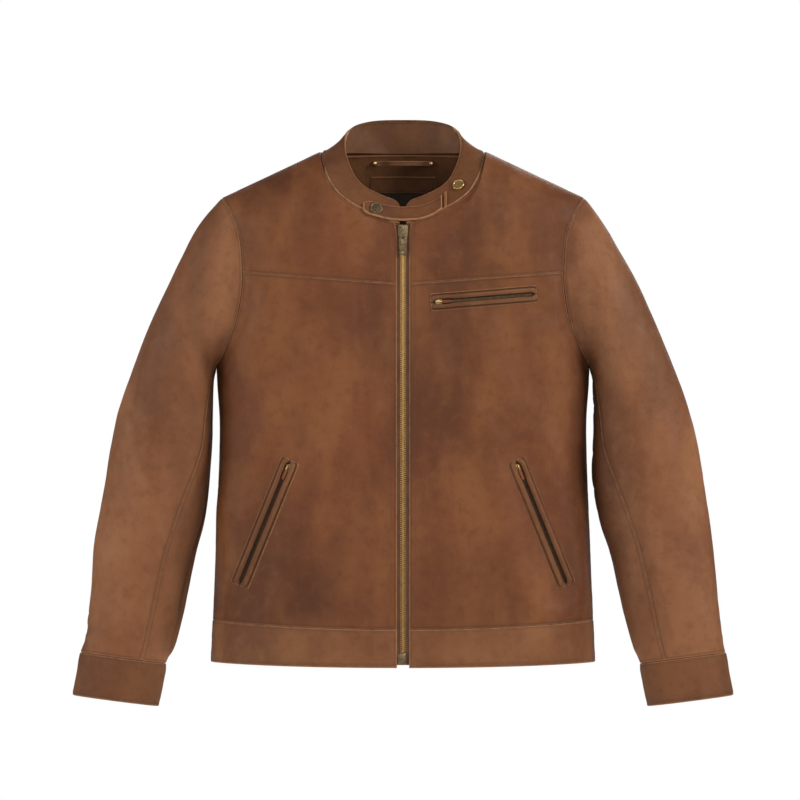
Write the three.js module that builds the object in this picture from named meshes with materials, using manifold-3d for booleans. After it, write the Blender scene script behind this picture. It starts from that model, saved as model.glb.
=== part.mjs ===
// A leather riding jacket with a band collar, a throat strap, a full-length front zip, a zipped chest
// pocket and two slanted zipped hand pockets. It is modelled upright and filled out, as it is when worn.
// Millimetres. X points to the wearer's left, Y to the wearer's back, Z up. Heights are measured from the
// middle of the front hem while modelling; the last lines move the origin to the hanger loop.
import * as THREE from "three";
import { mergeVertices } from "three/addons/utils/BufferGeometryUtils.js";
import Module from "manifold-3d";

const wasm = await Module();
wasm.setup();

// ---------------------------------------------------------------- driving dimensions
const LEATHER = 1.4; // thickness of one layer of leather
const LINING = 1.0; // thickness of the cloth lining
const SEAM = 0.25; // each edge stays this far from its seam line
const LAYER_GAP = 1.1; // air between a sleeve and its lining
const BODY_GAP = 2.5; // air between the body leather and its lining at the sewn edges
const LINING_DEPTH = 12.5; // how far inside the leather the body lining hangs, behind the pocket bags

const HEM_HALF_WIDTH = 242;
const WAIST_HALF_WIDTH = 231;
const CHEST_HALF_WIDTH = 235;
const WAIST_HEIGHT = 300; // height of the narrowest place
const UNDERARM_HEIGHT = 375;
const NECK_FRONT_HEIGHT = 557; // where the front zip and the collar meet
const NECK_HALF_WIDTH = 105;
const NECK_SIDE_HEIGHT = 648;
const SHOULDER_HALF_WIDTH = 228;
const SHOULDER_HEIGHT = 590;
const ARMHOLE_INSET = 33; // how far the armhole cuts in from the chest's side
const FRONT_DEPTH_HEM = 82; // from the side seam forward to the zip, at the hem
const FRONT_DEPTH_NECK = 58; // the same at the neck
const BACK_DEPTH_HEM = 72;
const BACK_DEPTH_WAIST = 66;
const BACK_DEPTH_BLADES = 92;
const FLAT_FRONT_SHARE = 0.42; // the share of the half width over which the front is flat

const WAISTBAND_HEIGHT = 48;
const WAISTBAND_RISE = 11; // its top seam curves up by this at the sides
const HEM_RISE = 6;
const BAND_PROUD = 0.4; // waistband and cuffs stand this proud of the panels
const BAND_THICKNESS = 3.4;
const YOKE_HEIGHT = 481; // front yoke seam at the zip
const YOKE_SLOPE = 0.075;
const BACK_YOKE_HEIGHT = 505;

const COLLAR_LEAN = 22; // how far the collar's front leans back
const COLLAR_FRONT_RISE = 28;
const COLLAR_BACK_RISE = 36;
const COLLAR_GAP = 1.7; // between the neckline and the collar's lower edge
const COLLAR_END_GAP = 3.5; // from the centre line to each collar end

const FOLD_TOP = 9.5; // the front folds open along a line from here at the neck
const FOLD_HEM = 84; // to here at the hem
const FOLD_PROUD = 0.6; // the fold line lies this far outside the leather

const ZIP_EDGE = 7.6; // from the centre line to the leather edge beside the zip
const TAPE_WIDTH = 13;
const TAPE_THICKNESS = 0.6;
const CHAIN_HALF_WIDTH = 3.7;
const CHAIN_THICKNESS = 3.2;
const MESH_GAP = 0.3; // between the two halves of the chain
const SLIDER_WIDTH = 12.6;
const SLIDER_LENGTH = 17;
const SLIDER_PLATE = 1.2;
const SLIDER_REST = 547.5; // height of the slider's middle when the front is closed
const SLIDER_CLEARANCE = 0.3;
const PULL_LENGTH = 25;
const PULL_WIDTH = 9;
const PULL_THICKNESS = 1;
const BOX_LOW = 4; // the insertion box at the bottom of the zip
const BOX_HIGH = 19;

const CHEST_POCKET = { from: [34.5, 458], to: [168, 469], height: 16.4 };
const HAND_POCKET = { from: [141, 261], to: [205.4, 102.8], height: 20 };
const SLOT = 4.4; // the gap between a pocket's two lips
const LIP_PROUD = 1;
const LIP_DEPTH = 0.9;
const POCKET_CLEARANCE = 0.4;

const STRAP_WIDTH = 19.6;
const STRAP_THICKNESS = 2.2;
const STRAP_LEAN = THREE.MathUtils.degToRad(30);
const SNAP_RADIUS = 7.8;
const SNAP_HEIGHT = 2.4;
const STUD_RADIUS = 4;

const SLEEVE_END_CLEARANCE = 0.4;
const CUFF_HEIGHT = 55;

const HANGER_HEIGHT = 635;
const HANGER_LENGTH = 78;
const HANGER_WIDTH = 6;
const HANGER_THICKNESS = 1.2;
const RIVET_RADIUS = 2.6;
const RIVET_PITCH = 72;

// ---------------------------------------------------------------- materials
const leather = new THREE.MeshStandardMaterial({ color: 0x7a5036, roughness: 0.6, metalness: 0 });
const darkLeather = new THREE.MeshStandardMaterial({ color: 0x5b3d28, roughness: 0.65, metalness: 0 });
const cloth = new THREE.MeshStandardMaterial({ color: 0x2e251f, roughness: 0.9, metalness: 0 });
const tapeAndBrass = new THREE.MeshStandardMaterial({ color: 0x8d6b35, roughness: 0.45, metalness: 0.7 });
const brass = new THREE.MeshStandardMaterial({ color: 0x8a7347, roughness: 0.4, metalness: 0.9 });

// ---------------------------------------------------------------- small helpers
const lerp = THREE.MathUtils.lerp;
const smooth = (t) => THREE.MathUtils.smoothstep(t, 0, 1);
const v2 = (x, y) => new THREE.Vector2(x, y);
const v3 = (x, y, z) => new THREE.Vector3(x, y, z);
const jacket = new THREE.Group();

// A smooth function through a few [place, value] pairs.
function profile(pairs) {
  const slopes = pairs.map((_, i) => {
    const [a, b] = [pairs[Math.max(0, i - 1)], pairs[Math.min(pairs.length - 1, i + 1)]];
    return (b[1] - a[1]) / (b[0] - a[0]);
  });
  return (at) => {
    const last = pairs.length - 2;
    const i = Math.min(last, Math.max(0, pairs.findLastIndex((pair) => pair[0] <= at)));
    const span = pairs[i + 1][0] - pairs[i][0];
    const t = THREE.MathUtils.clamp((at - pairs[i][0]) / span, 0, 1);
    const rise = (1 - t) * (1 - t) * (pairs[i][1] * (1 + 2 * t) + slopes[i] * span * t);
    return rise + t * t * (pairs[i + 1][1] * (3 - 2 * t) - slopes[i + 1] * span * (1 - t));
  };
}

// Places from low to high with count steps, each end held back by its own inset (as shares).
function steps(count, insetLow = 0, insetHigh = 0) {
  return Array.from({ length: count + 1 }, (_, i) => lerp(insetLow, 1 - insetHigh, i / count));
}

// The patch that four edge curves bound, as a function of two shares.
function coons(bottom, top, left, right) {
  const corners = [bottom(0), bottom(1), top(0), top(1)];
  return (u, v) => {
    const ruled = bottom(u).multiplyScalar(1 - v).add(top(u).multiplyScalar(v));
    ruled.add(left(v).multiplyScalar(1 - u)).add(right(v).multiplyScalar(u));
    corners.forEach((corner, i) => {
      const share = (i % 2 ? u : 1 - u) * (i < 2 ? 1 - v : v);
      ruled.addScaledVector(corner, -share);
    });
    return ruled;
  };
}

// A mesh of its own from rows of vertices: the outer face, the inner face and the edges between them.
// depth(u, v) gives how far in from the surface the outer and inner faces lie.
function sheet(point, inside, us, vs, depth, wraps = false) {
  const small = 1e-3;
  const positions = [];
  const faces = [];
  const columns = wraps ? us.length - 1 : us.length;
  const at = (face, i, j) => (face * vs.length + j) * columns + (i % columns);
  for (const face of [0, 1])
    for (const v of vs)
      for (let i = 0; i < columns; i++) {
        const u = us[i];
        const p = point(u, v);
        const [u0, u1] = wraps ? [u - small, u + small] : [Math.max(0, u - small), Math.min(1, u + small)];
        const along = point(u1, v).sub(point(u0, v));
        const up = point(u, Math.min(1, v + small)).sub(point(u, Math.max(0, v - small)));
        const inward = along.cross(up).normalize();
        if (inward.dot(inside(p, u, v).sub(p)) < 0) inward.negate();
        positions.push(...p.addScaledVector(inward, depth(u, v)[face]).toArray());
      }
  const quad = (a, b, c, d) => faces.push(a, b, c, a, c, d);
  for (let j = 0; j + 1 < vs.length; j++)
    for (let i = 0; i + 1 < us.length; i++) {
      quad(at(0, i, j), at(0, i + 1, j), at(0, i + 1, j + 1), at(0, i, j + 1));
      quad(at(1, i, j), at(1, i, j + 1), at(1, i + 1, j + 1), at(1, i + 1, j));
    }
  for (let i = 0; i + 1 < us.length; i++) {
    const top = vs.length - 1;
    quad(at(0, i, 0), at(1, i, 0), at(1, i + 1, 0), at(0, i + 1, 0));
    quad(at(0, i, top), at(0, i + 1, top), at(1, i + 1, top), at(1, i, top));
  }
  for (let j = 0; j + 1 < vs.length && !wraps; j++) {
    const side = us.length - 1;
    quad(at(0, 0, j), at(0, 0, j + 1), at(1, 0, j + 1), at(1, 0, j));
    quad(at(0, side, j), at(1, side, j), at(1, side, j + 1), at(0, side, j + 1));
  }
  return facingOut(positions, faces);
}

// Turns every face round if together they enclose a negative volume.
function facingOut(positions, faces) {
  const corner = (i) => v3(...positions.slice(3 * i, 3 * i + 3));
  let volume = 0;
  for (let i = 0; i < faces.length; i += 3) {
    const [a, b, c] = [corner(faces[i]), corner(faces[i + 1]), corner(faces[i + 2])];
    volume += a.dot(b.cross(c));
  }
  if (volume < 0) faces.reverse();
  const geometry = new THREE.BufferGeometry();
  geometry.setAttribute("position", new THREE.Float32BufferAttribute(positions, 3));
  geometry.setIndex(faces);
  return geometry;
}

// A manifold solid of a closed geometry, and the geometry of a solid.
function solid(geometry) {
  const bare = new THREE.BufferGeometry();
  bare.setAttribute("position", geometry.getAttribute("position"));
  bare.setIndex(geometry.index);
  const merged = mergeVertices(bare, 1e-4);
  const vertProperties = new Float32Array(merged.attributes.position.array);
  const triVerts = new Uint32Array(merged.index.array);
  return new wasm.Manifold(new wasm.Mesh({ numProp: 3, vertProperties, triVerts }));
}
function geometryOf(made) {
  const mesh = made.getMesh();
  const geometry = new THREE.BufferGeometry();
  geometry.setAttribute("position", new THREE.BufferAttribute(mesh.vertProperties, 3));
  geometry.setIndex(new THREE.BufferAttribute(mesh.triVerts, 1));
  return geometry;
}
const cut = (geometry, ...tools) =>
  geometryOf(tools.reduce((made, tool) => made.subtract(solid(tool)), solid(geometry)));
const join = (...pieces) => geometryOf(pieces.map(solid).reduce((made, piece) => made.add(piece)));

function add(name, geometry, material, parent = jacket) {
  const mesh = new THREE.Mesh(geometry, material);
  mesh.name = name;
  parent.add(mesh);
  return mesh;
}

// A box between two corners, and a flat outline given as [x, z] pairs that runs from depth near to far.
function block(low, high) {
  const size = high.map((value, i) => value - low[i]);
  const box = new THREE.BoxGeometry(...size);
  return box.translate(...low.map((value, i) => value + size[i] / 2));
}
function plate(outline, near, far, holes = []) {
  const shape = new THREE.Shape(outline.map(([x, z]) => v2(x, z)));
  shape.holes = holes.map((hole) => new THREE.Path(hole.map(([x, z]) => v2(x, z))));
  const made = new THREE.ExtrudeGeometry(shape, { depth: far - near, bevelEnabled: false });
  return made.rotateX(Math.PI / 2).translate(0, far, 0);
}
const sides = [
  { side: 1, name: "left" },
  { side: -1, name: "right" },
];
// The wearer's left piece as it is, or its mirror image for the right side.
function mirrored(geometry, side) {
  if (side > 0) return geometry;
  const turned = geometry.clone().scale(-1, 1, 1);
  turned.index.array.reverse();
  return turned;
}

// ---------------------------------------------------------------- the torso's form
const halfWidth = profile([
  [0, HEM_HALF_WIDTH],
  [WAIST_HEIGHT / 2, lerp(HEM_HALF_WIDTH, WAIST_HALF_WIDTH, 0.55)],
  [WAIST_HEIGHT, WAIST_HALF_WIDTH],
  [UNDERARM_HEIGHT, CHEST_HALF_WIDTH],
  [SHOULDER_HEIGHT, CHEST_HALF_WIDTH + 4],
]);
const FRONT_LEAN = Math.atan2(FRONT_DEPTH_HEM - FRONT_DEPTH_NECK, NECK_FRONT_HEIGHT);
const frontDepth = (z) => FRONT_DEPTH_HEM - z * Math.tan(FRONT_LEAN);
const backDepth = profile([
  [0, BACK_DEPTH_HEM],
  [UNDERARM_HEIGHT * 0.45, BACK_DEPTH_WAIST],
  [UNDERARM_HEIGHT * 0.88, lerp(BACK_DEPTH_WAIST, BACK_DEPTH_BLADES, 0.55)],
  [UNDERARM_HEIGHT * 1.2, BACK_DEPTH_BLADES],
  [SHOULDER_HEIGHT, BACK_DEPTH_BLADES],
]);
const SHOULDER_SLOPE = (NECK_SIDE_HEIGHT - SHOULDER_HEIGHT) / (SHOULDER_HALF_WIDTH - NECK_HALF_WIDTH);
const shoulderLine = (x) => NECK_SIDE_HEIGHT - SHOULDER_SLOPE * (Math.abs(x) - NECK_HALF_WIDTH);
const armholeX = profile([
  [UNDERARM_HEIGHT, CHEST_HALF_WIDTH],
  [lerp(UNDERARM_HEIGHT, SHOULDER_HEIGHT, 0.13), CHEST_HALF_WIDTH - 0.4 * ARMHOLE_INSET],
  [lerp(UNDERARM_HEIGHT, SHOULDER_HEIGHT, 0.27), CHEST_HALF_WIDTH - 0.76 * ARMHOLE_INSET],
  [lerp(UNDERARM_HEIGHT, SHOULDER_HEIGHT, 0.45), CHEST_HALF_WIDTH - 0.98 * ARMHOLE_INSET],
  [lerp(UNDERARM_HEIGHT, SHOULDER_HEIGHT, 0.6), CHEST_HALF_WIDTH - ARMHOLE_INSET],
  [lerp(UNDERARM_HEIGHT, SHOULDER_HEIGHT, 0.77), CHEST_HALF_WIDTH - 0.9 * ARMHOLE_INSET],
  [lerp(UNDERARM_HEIGHT, SHOULDER_HEIGHT, 0.9), CHEST_HALF_WIDTH - 0.62 * ARMHOLE_INSET],
  [SHOULDER_HEIGHT, SHOULDER_HALF_WIDTH],
]);
const sideX = (z) => (z < UNDERARM_HEIGHT ? halfWidth(z) : armholeX(z));
const foldX = (z) => lerp(FOLD_HEM, FOLD_TOP, z / NECK_FRONT_HEIGHT);

// How far a height is towards the shoulder line, turned into the roundness of the shoulder.
function closing(x, z, from) {
  const share = THREE.MathUtils.clamp((z - from) / (shoulderLine(x) - from), 0, 1);
  return Math.sqrt(1 - share * share);
}
function plainFrontY(x, z) {
  const out = Math.min(1, Math.abs(x) / halfWidth(z));
  const round = Math.max(0, (out - FLAT_FRONT_SHARE) / (1 - FLAT_FRONT_SHARE));
  return -frontDepth(z) * Math.sqrt(1 - round ** 2.4) * closing(x, z, NECK_FRONT_HEIGHT);
}
const BACK_CLOSING = SHOULDER_HEIGHT - 120;
function backY(x, z) {
  const out = Math.min(1, Math.abs(x) / halfWidth(z));
  return backDepth(z) * Math.sqrt(1 - out ** 2.6) * closing(x, z, BACK_CLOSING);
}

// A pocket's frame: the leather is drawn flat round its opening so that the zip under it runs straight.
function pocketFrame({ from, to, height }) {
  const ends = [from, to].map(([x, z]) => v3(x, plainFrontY(x, z), z));
  const along = ends[1].clone().sub(ends[0]);
  const length = along.length();
  along.normalize();
  const middle = ends[0].clone().add(ends[1]).multiplyScalar(0.5);
  const step = 4;
  const near = (dx, dz) => {
    const [x, z] = [middle.x + dx, middle.z + dz];
    return v3(x, plainFrontY(x, z), z);
  };
  const outward = near(step, 0).sub(near(-step, 0)).cross(near(0, step).sub(near(0, -step)));
  outward.normalize();
  outward.addScaledVector(along, -outward.dot(along)).normalize();
  const inward = outward.clone().negate();
  const up = inward.clone().cross(along).negate();
  const matrix = new THREE.Matrix4().makeBasis(along, inward, up).setPosition(middle);
  if (matrix.determinant() < 0) matrix.makeBasis(along, inward, up.negate()).setPosition(middle);
  return { middle, along, inward, length, height, matrix };
}
const chestFrame = pocketFrame(CHEST_POCKET);
const handFrame = pocketFrame(HAND_POCKET);
const FLAT_MARGIN = 4;
const FLAT_FADE = 34;

// How far a place lies inside a pocket's flattened ground, and the height of that ground.
function flatGround(x, z, frame) {
  const flat = v2(frame.along.x, frame.along.z).normalize();
  const [dx, dz] = [x - frame.middle.x, z - frame.middle.z];
  const along = Math.abs(dx * flat.x + dz * flat.y) - frame.length / 2 - FLAT_MARGIN;
  const across = Math.abs(dx * flat.y - dz * flat.x) - frame.height / 2 - FLAT_MARGIN;
  const share = (1 - smooth(along / FLAT_FADE)) * (1 - smooth(across / FLAT_FADE));
  const y = frame.middle.y - (dx * frame.inward.x + dz * frame.inward.z) / frame.inward.y;
  return { share: share * smooth((x - foldX(z)) / 6), y };
}
// side tells the wearer's left front, which has the chest pocket, from the right one.
function frontY(x, z, side) {
  let y = plainFrontY(x, z);
  for (const frame of side > 0 ? [handFrame, chestFrame] : [handFrame]) {
    const ground = flatGround(x, z, frame);
    y = lerp(y, ground.y, ground.share);
  }
  return y;
}
const onFront = (side) => (at) => v3(at.x, frontY(at.x, at.y, side), at.y);
const onBack = (at) => v3(at.x, backY(at.x, at.y), at.y);
const insideTorso = () => v3(0, 10, 340);

const waistSeam = (x) => WAISTBAND_HEIGHT + WAISTBAND_RISE * (x / HEM_HALF_WIDTH) ** 2;
const hemLine = (x) => HEM_RISE * (x / HEM_HALF_WIDTH) ** 2;
const frontYokeSeam = (x) => YOKE_HEIGHT + YOKE_SLOPE * Math.abs(x);
const YOKE_SIDE_HEIGHT = frontYokeSeam(CHEST_HALF_WIDTH - ARMHOLE_INSET);

const neckline = new THREE.SplineCurve([
  v2(FOLD_TOP, NECK_FRONT_HEIGHT + 0.5),
  v2(NECK_HALF_WIDTH * 0.44, lerp(NECK_FRONT_HEIGHT, NECK_SIDE_HEIGHT, 0.165)),
  v2(NECK_HALF_WIDTH * 0.8, lerp(NECK_FRONT_HEIGHT, NECK_SIDE_HEIGHT, 0.42)),
  v2(NECK_HALF_WIDTH * 0.96, lerp(NECK_FRONT_HEIGHT, NECK_SIDE_HEIGHT, 0.72)),
  v2(NECK_HALF_WIDTH, NECK_SIDE_HEIGHT),
]);
const backNeckline = (x) => NECK_SIDE_HEIGHT + 2 * (1 - (x / NECK_HALF_WIDTH) ** 2);

// Edges of the front and back pieces, as functions of a share.
const NECK_SHARE = 0.45; // the share of a yoke's top edge that the neckline takes
const shoulderPoint = (t) => {
  const x = lerp(NECK_HALF_WIDTH, SHOULDER_HALF_WIDTH, t);
  return v2(x, shoulderLine(x));
};
const frontTop = (u) =>
  u < NECK_SHARE ? neckline.getPoint(u / NECK_SHARE) : shoulderPoint((u - NECK_SHARE) / (1 - NECK_SHARE));
const across = (from, to, height) => (u) => {
  const x = lerp(from, to, Math.sin((u * Math.PI) / 2));
  return v2(x, height(x));
};
const upFold = (low, high) => (v) => {
  const z = lerp(low, high, v);
  return v2(foldX(z), z);
};
const upSide = (low, high) => (v) => {
  const z = lerp(low, high, v);
  return v2(sideX(z), z);
};
const seamShare = (length) => SEAM / length;

// ---------------------------------------------------------------- front panels and yokes
const waistAtFold = waistSeam(foldX(WAISTBAND_HEIGHT));
const waistAtSide = waistSeam(halfWidth(WAISTBAND_HEIGHT));
const frontPanel = coons(
  across(foldX(waistAtFold), sideX(waistAtSide), waistSeam),
  across(foldX(YOKE_HEIGHT), sideX(YOKE_SIDE_HEIGHT), frontYokeSeam),
  upFold(waistAtFold, frontYokeSeam(foldX(YOKE_HEIGHT))),
  upSide(waistAtSide, YOKE_SIDE_HEIGHT),
);
const frontYoke = coons(
  (u) => {
    const x = lerp(foldX(YOKE_HEIGHT), sideX(YOKE_SIDE_HEIGHT), u);
    return v2(x, frontYokeSeam(x));
  },
  frontTop,
  upFold(frontYokeSeam(foldX(YOKE_HEIGHT)), NECK_FRONT_HEIGHT + 0.5),
  upSide(YOKE_SIDE_HEIGHT, SHOULDER_HEIGHT),
);
const towardsTop = (v) => Math.sin((v * Math.PI) / 2);
const oneLayer = () => [0, LEATHER];

function pocketWindow(frame) {
  const half = [frame.length / 2 + POCKET_CLEARANCE, 14, frame.height / 2 + POCKET_CLEARANCE];
  return block(half.map((value) => -value), half).applyMatrix4(frame.matrix);
}
for (const { side, name } of sides) {
  const panel = sheet(
    (u, v) => onFront(side)(frontPanel(u, v)),
    insideTorso,
    steps(8, seamShare(200), seamShare(300)),
    steps(10, seamShare(430), seamShare(430)),
    oneLayer,
  );
  const frames = side > 0 ? [handFrame, chestFrame] : [handFrame];
  const windows = frames.map(pocketWindow);
  add("front_panel_" + name, mirrored(cut(panel, ...windows), side), leather);
  const yoke = sheet(
    (u, v) => onFront(side)(frontYoke(u, towardsTop(v))),
    insideTorso,
    steps(9, seamShare(180), seamShare(180)),
    steps(6, seamShare(140), seamShare(140)),
    oneLayer,
  );
  add("front_yoke_" + name, mirrored(yoke, side), leather);
}

// ---------------------------------------------------------------- back panel and back yoke
const fullWidth = (half) => (u, v) => {
  const at = half(Math.abs(2 * u - 1), v);
  return v2(at.x * Math.sign(2 * u - 1), at.y);
};
const upCentre = (low, high) => (v) => v2(0, lerp(low, high, v));
const backHalf = coons(
  across(0, sideX(waistAtSide), waistSeam),
  across(0, sideX(BACK_YOKE_HEIGHT), () => BACK_YOKE_HEIGHT),
  upCentre(WAISTBAND_HEIGHT, BACK_YOKE_HEIGHT),
  upSide(waistAtSide, BACK_YOKE_HEIGHT),
);
const backTop = (u) => {
  if (u >= NECK_SHARE) return shoulderPoint((u - NECK_SHARE) / (1 - NECK_SHARE));
  const x = NECK_HALF_WIDTH * Math.sin((u / NECK_SHARE) * (Math.PI / 2));
  return v2(x, backNeckline(x));
};
const backYokeHalf = coons(
  (u) => v2(lerp(0, sideX(BACK_YOKE_HEIGHT), u), BACK_YOKE_HEIGHT),
  backTop,
  upCentre(BACK_YOKE_HEIGHT, backNeckline(0)),
  upSide(BACK_YOKE_HEIGHT, SHOULDER_HEIGHT),
);
const backPanel = (u, v) => onBack(fullWidth(backHalf)(u, v));
const backYoke = (u, v) => onBack(fullWidth(backYokeHalf)(u, towardsTop(v)));
add(
  "back_panel",
  sheet(
    backPanel,
    insideTorso,
    steps(16, seamShare(600), seamShare(600)),
    steps(9, 0.0005, 0.0005),
    oneLayer,
  ),
  leather,
);
add(
  "back_yoke",
  sheet(
    backYoke,
    insideTorso,
    steps(20, seamShare(400), seamShare(400)),
    steps(6, 0.0015, 0.0015),
    oneLayer,
  ),
  leather,
);

// ---------------------------------------------------------------- waistband
const bandDepth = () => [-BAND_PROUD, BAND_THICKNESS - BAND_PROUD];
const bandSide = (v) => {
  const z = lerp(hemLine(HEM_HALF_WIDTH), waistAtSide, v);
  return v2(halfWidth(z), z);
};
const frontBand = coons(
  across(foldX(hemLine(FOLD_HEM)), halfWidth(0), hemLine),
  across(foldX(waistAtFold), halfWidth(waistAtSide), waistSeam),
  upFold(hemLine(FOLD_HEM), waistAtFold),
  bandSide,
);
const backBandHalf = coons(
  across(0, halfWidth(0), hemLine),
  across(0, halfWidth(waistAtSide), waistSeam),
  upCentre(0, WAISTBAND_HEIGHT),
  bandSide,
);
for (const { side, name } of sides) {
  const band = sheet(
    (u, v) => onFront(side)(frontBand(u, v)),
    insideTorso,
    steps(7, seamShare(150), seamShare(250)),
    steps(2, seamShare(50), seamShare(50)),
    bandDepth,
  );
  add("waistband_" + name, mirrored(band, side), leather);
}
add(
  "waistband_back",
  sheet(
    (u, v) => onBack(fullWidth(backBandHalf)(u, v)),
    insideTorso,
    steps(14, seamShare(600), seamShare(600)),
    steps(2, seamShare(50), seamShare(50)),
    bandDepth,
  ),
  leather,
);

// ---------------------------------------------------------------- collar
// Rings of points from the front round the wearer's left side to the back, given as rows of x, y and z.
const COLLAR_INSET = 2.6; // the collar stands this far inside the neckline at the sides
const necklineAt = (t) => {
  const at = neckline.getPoint(t);
  return v3(at.x - COLLAR_INSET * smooth(2 * t), plainFrontY(at.x, at.y), at.y + 0.4);
};
const backNeckAt = (share) => {
  const x = NECK_HALF_WIDTH * share;
  return v3(x - COLLAR_INSET * share, backY(x, backNeckline(x)), backNeckline(x) + 0.4);
};
const collarBase = [
  v3(0, -FRONT_DEPTH_NECK, NECK_FRONT_HEIGHT + 0.5),
  ...[0.25, 0.5, 0.75, 1].map(necklineAt),
  ...[0.86, 0.48, 0].map(backNeckAt),
];
const collarTop = [
  v3(0, COLLAR_LEAN - FRONT_DEPTH_NECK, NECK_FRONT_HEIGHT + COLLAR_FRONT_RISE + 2),
  collarBase[1].clone().add(v3(-13, 20, 24)),
  collarBase[2].clone().add(v3(-28, 21, 14)),
  collarBase[3].clone().add(v3(-33, 22, 6)),
  collarBase[4].clone().add(v3(-30, 10, 8)),
  collarBase[5].clone().add(v3(-20, 14, COLLAR_BACK_RISE - 7)),
  collarBase[6].clone().add(v3(-5, 3, COLLAR_BACK_RISE)),
  collarBase[7].clone().add(v3(0, -7, COLLAR_BACK_RISE)),
];
function ring(points) {
  const mirror = points.slice(1, -1).reverse();
  const whole = [...points, ...mirror.map((p) => v3(-p.x, p.y, p.z))];
  return new THREE.CatmullRomCurve3(whole, true, "centripetal");
}
const [baseRing, topRing] = [ring(collarBase), ring(collarTop)];
const COLLAR_HEIGHT = collarBase[7].distanceTo(collarTop[7]);
const gapShare = COLLAR_GAP / COLLAR_HEIGHT;
const collar = (u, v) => baseRing.getPoint(u).lerp(topRing.getPoint(u), v);
const insideCollar = (p) => v3(0, 8, p.z);
// The share round the ring at which the collar's edge is a given distance from the centre line.
function shareAtX(x, v) {
  let [low, high] = [0, 0.25];
  for (let i = 0; i < 30; i++) {
    const middle = (low + high) / 2;
    if (collar(middle, v).x < x) low = middle;
    else high = middle;
  }
  return low;
}
const collarEnd = shareAtX(COLLAR_END_GAP, 0.5);
add(
  "collar_outer",
  sheet(collar, insideCollar, steps(32, collarEnd, collarEnd), [gapShare, 0.36, 0.68, 1], oneLayer),
  leather,
);
add(
  "collar_lining",
  sheet(collar, insideCollar, steps(32, collarEnd, collarEnd), [0.09, 0.36, 0.68, 1], () => [
    LEATHER + COLLAR_GAP,
    LEATHER + COLLAR_GAP + LINING,
  ]),
  leather,
);

// ---------------------------------------------------------------- lining of the body
// Sewn to the leather along its edges and hanging free between them, behind the pocket bags.
const SEWN_WIDTH = 18;
const BODY_HEIGHT = NECK_SIDE_HEIGHT - WAISTBAND_HEIGHT;
const FACING_REACH = 62; // the back lining lies flat under the neck facing for this far
function liningDepth(width, sewnBothSides, flatTop) {
  return (u, v) => {
    const fromSides = (sewnBothSides ? Math.min(u, 1 - u) : 1 - u) * width;
    const fromHem = towardsTop(v) * BODY_HEIGHT;
    const fromTop = BODY_HEIGHT - fromHem - flatTop;
    const free = [fromSides, fromHem, fromTop].reduce((all, d) => all * smooth(d / SEWN_WIDTH), 1);
    const near = lerp(LEATHER + BODY_GAP, LINING_DEPTH, free);
    return [near, near + LINING];
  };
}
const LINING_TUCK = 4; // its lower edge goes this far behind the waistband
const tuckLine = (x) => waistSeam(x) - LINING_TUCK;
const frontLining = coons(
  across(foldX(waistAtFold), sideX(waistAtSide), tuckLine),
  frontTop,
  upFold(waistAtFold - LINING_TUCK, NECK_FRONT_HEIGHT + 0.5),
  upSide(waistAtSide - LINING_TUCK, SHOULDER_HEIGHT),
);
const backLiningHalf = coons(
  across(0, sideX(waistAtSide), tuckLine),
  backTop,
  upCentre(WAISTBAND_HEIGHT - LINING_TUCK, backNeckline(0)),
  upSide(waistAtSide - LINING_TUCK, SHOULDER_HEIGHT),
);
const LINING_INSET = 2.4; // the lining's edge stays this far inside the leather's
const liningRows = [0, 0.02, 0.12, 0.25, 0.38, 0.5, 0.62, 0.7, 0.78, 0.88, 1];
const held = (shares, low, high) => shares.map((share) => lerp(low, 1 - high, share));
for (const { side, name } of sides) {
  const lining = sheet(
    (u, v) => onFront(side)(frontLining(u, towardsTop(v))),
    insideTorso,
    steps(8, LINING_INSET / 150, LINING_INSET / 260),
    held(liningRows, LINING_INSET / 500, LINING_INSET / 90),
    liningDepth(230, false, 0),
  );
  add("lining_front_" + name, mirrored(lining, side), cloth);
}
const backLining = sheet(
  (u, v) => onBack(fullWidth(backLiningHalf)(u, towardsTop(v))),
  insideTorso,
  steps(20, LINING_INSET / 500, LINING_INSET / 500),
  held(liningRows, LINING_INSET / 500, LINING_INSET / 90),
  liningDepth(500, true, FACING_REACH),
);

// ---------------------------------------------------------------- neck facing and hanger loop
// The leather facing takes the lining's place inside the back of the neck; the lining ends at its edge.
const FACING_DEPTH = LEATHER + BODY_GAP;
const FACING_HALF_WIDTH = 84;
const FACING_LOW = NECK_SIDE_HEIGHT - 42;
const FACING_TOP_INSET = 2.5; // it ends this far below the collar's seam
const neckFacing = (margin, topMargin) => (u, v) => {
  const x = lerp(-FACING_HALF_WIDTH - margin, FACING_HALF_WIDTH + margin, u);
  const high = Math.min(backNeckline(x), shoulderLine(x)) - FACING_TOP_INSET + topMargin;
  return onBack(v2(x, lerp(FACING_LOW - margin, high, v)));
};
const facing = sheet(neckFacing(0, 0), insideTorso, steps(12), steps(3), () => [
  FACING_DEPTH,
  FACING_DEPTH + LEATHER,
]);
const roomUnder = neckFacing(MESH_GAP, 2 * FACING_TOP_INSET);
const facingRoom = sheet(roomUnder, insideTorso, steps(12), steps(3), () => [0, LINING_DEPTH]);
add("neck_facing", facing, darkLeather);
add("lining_back", cut(backLining, facingRoom), cloth);
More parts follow.
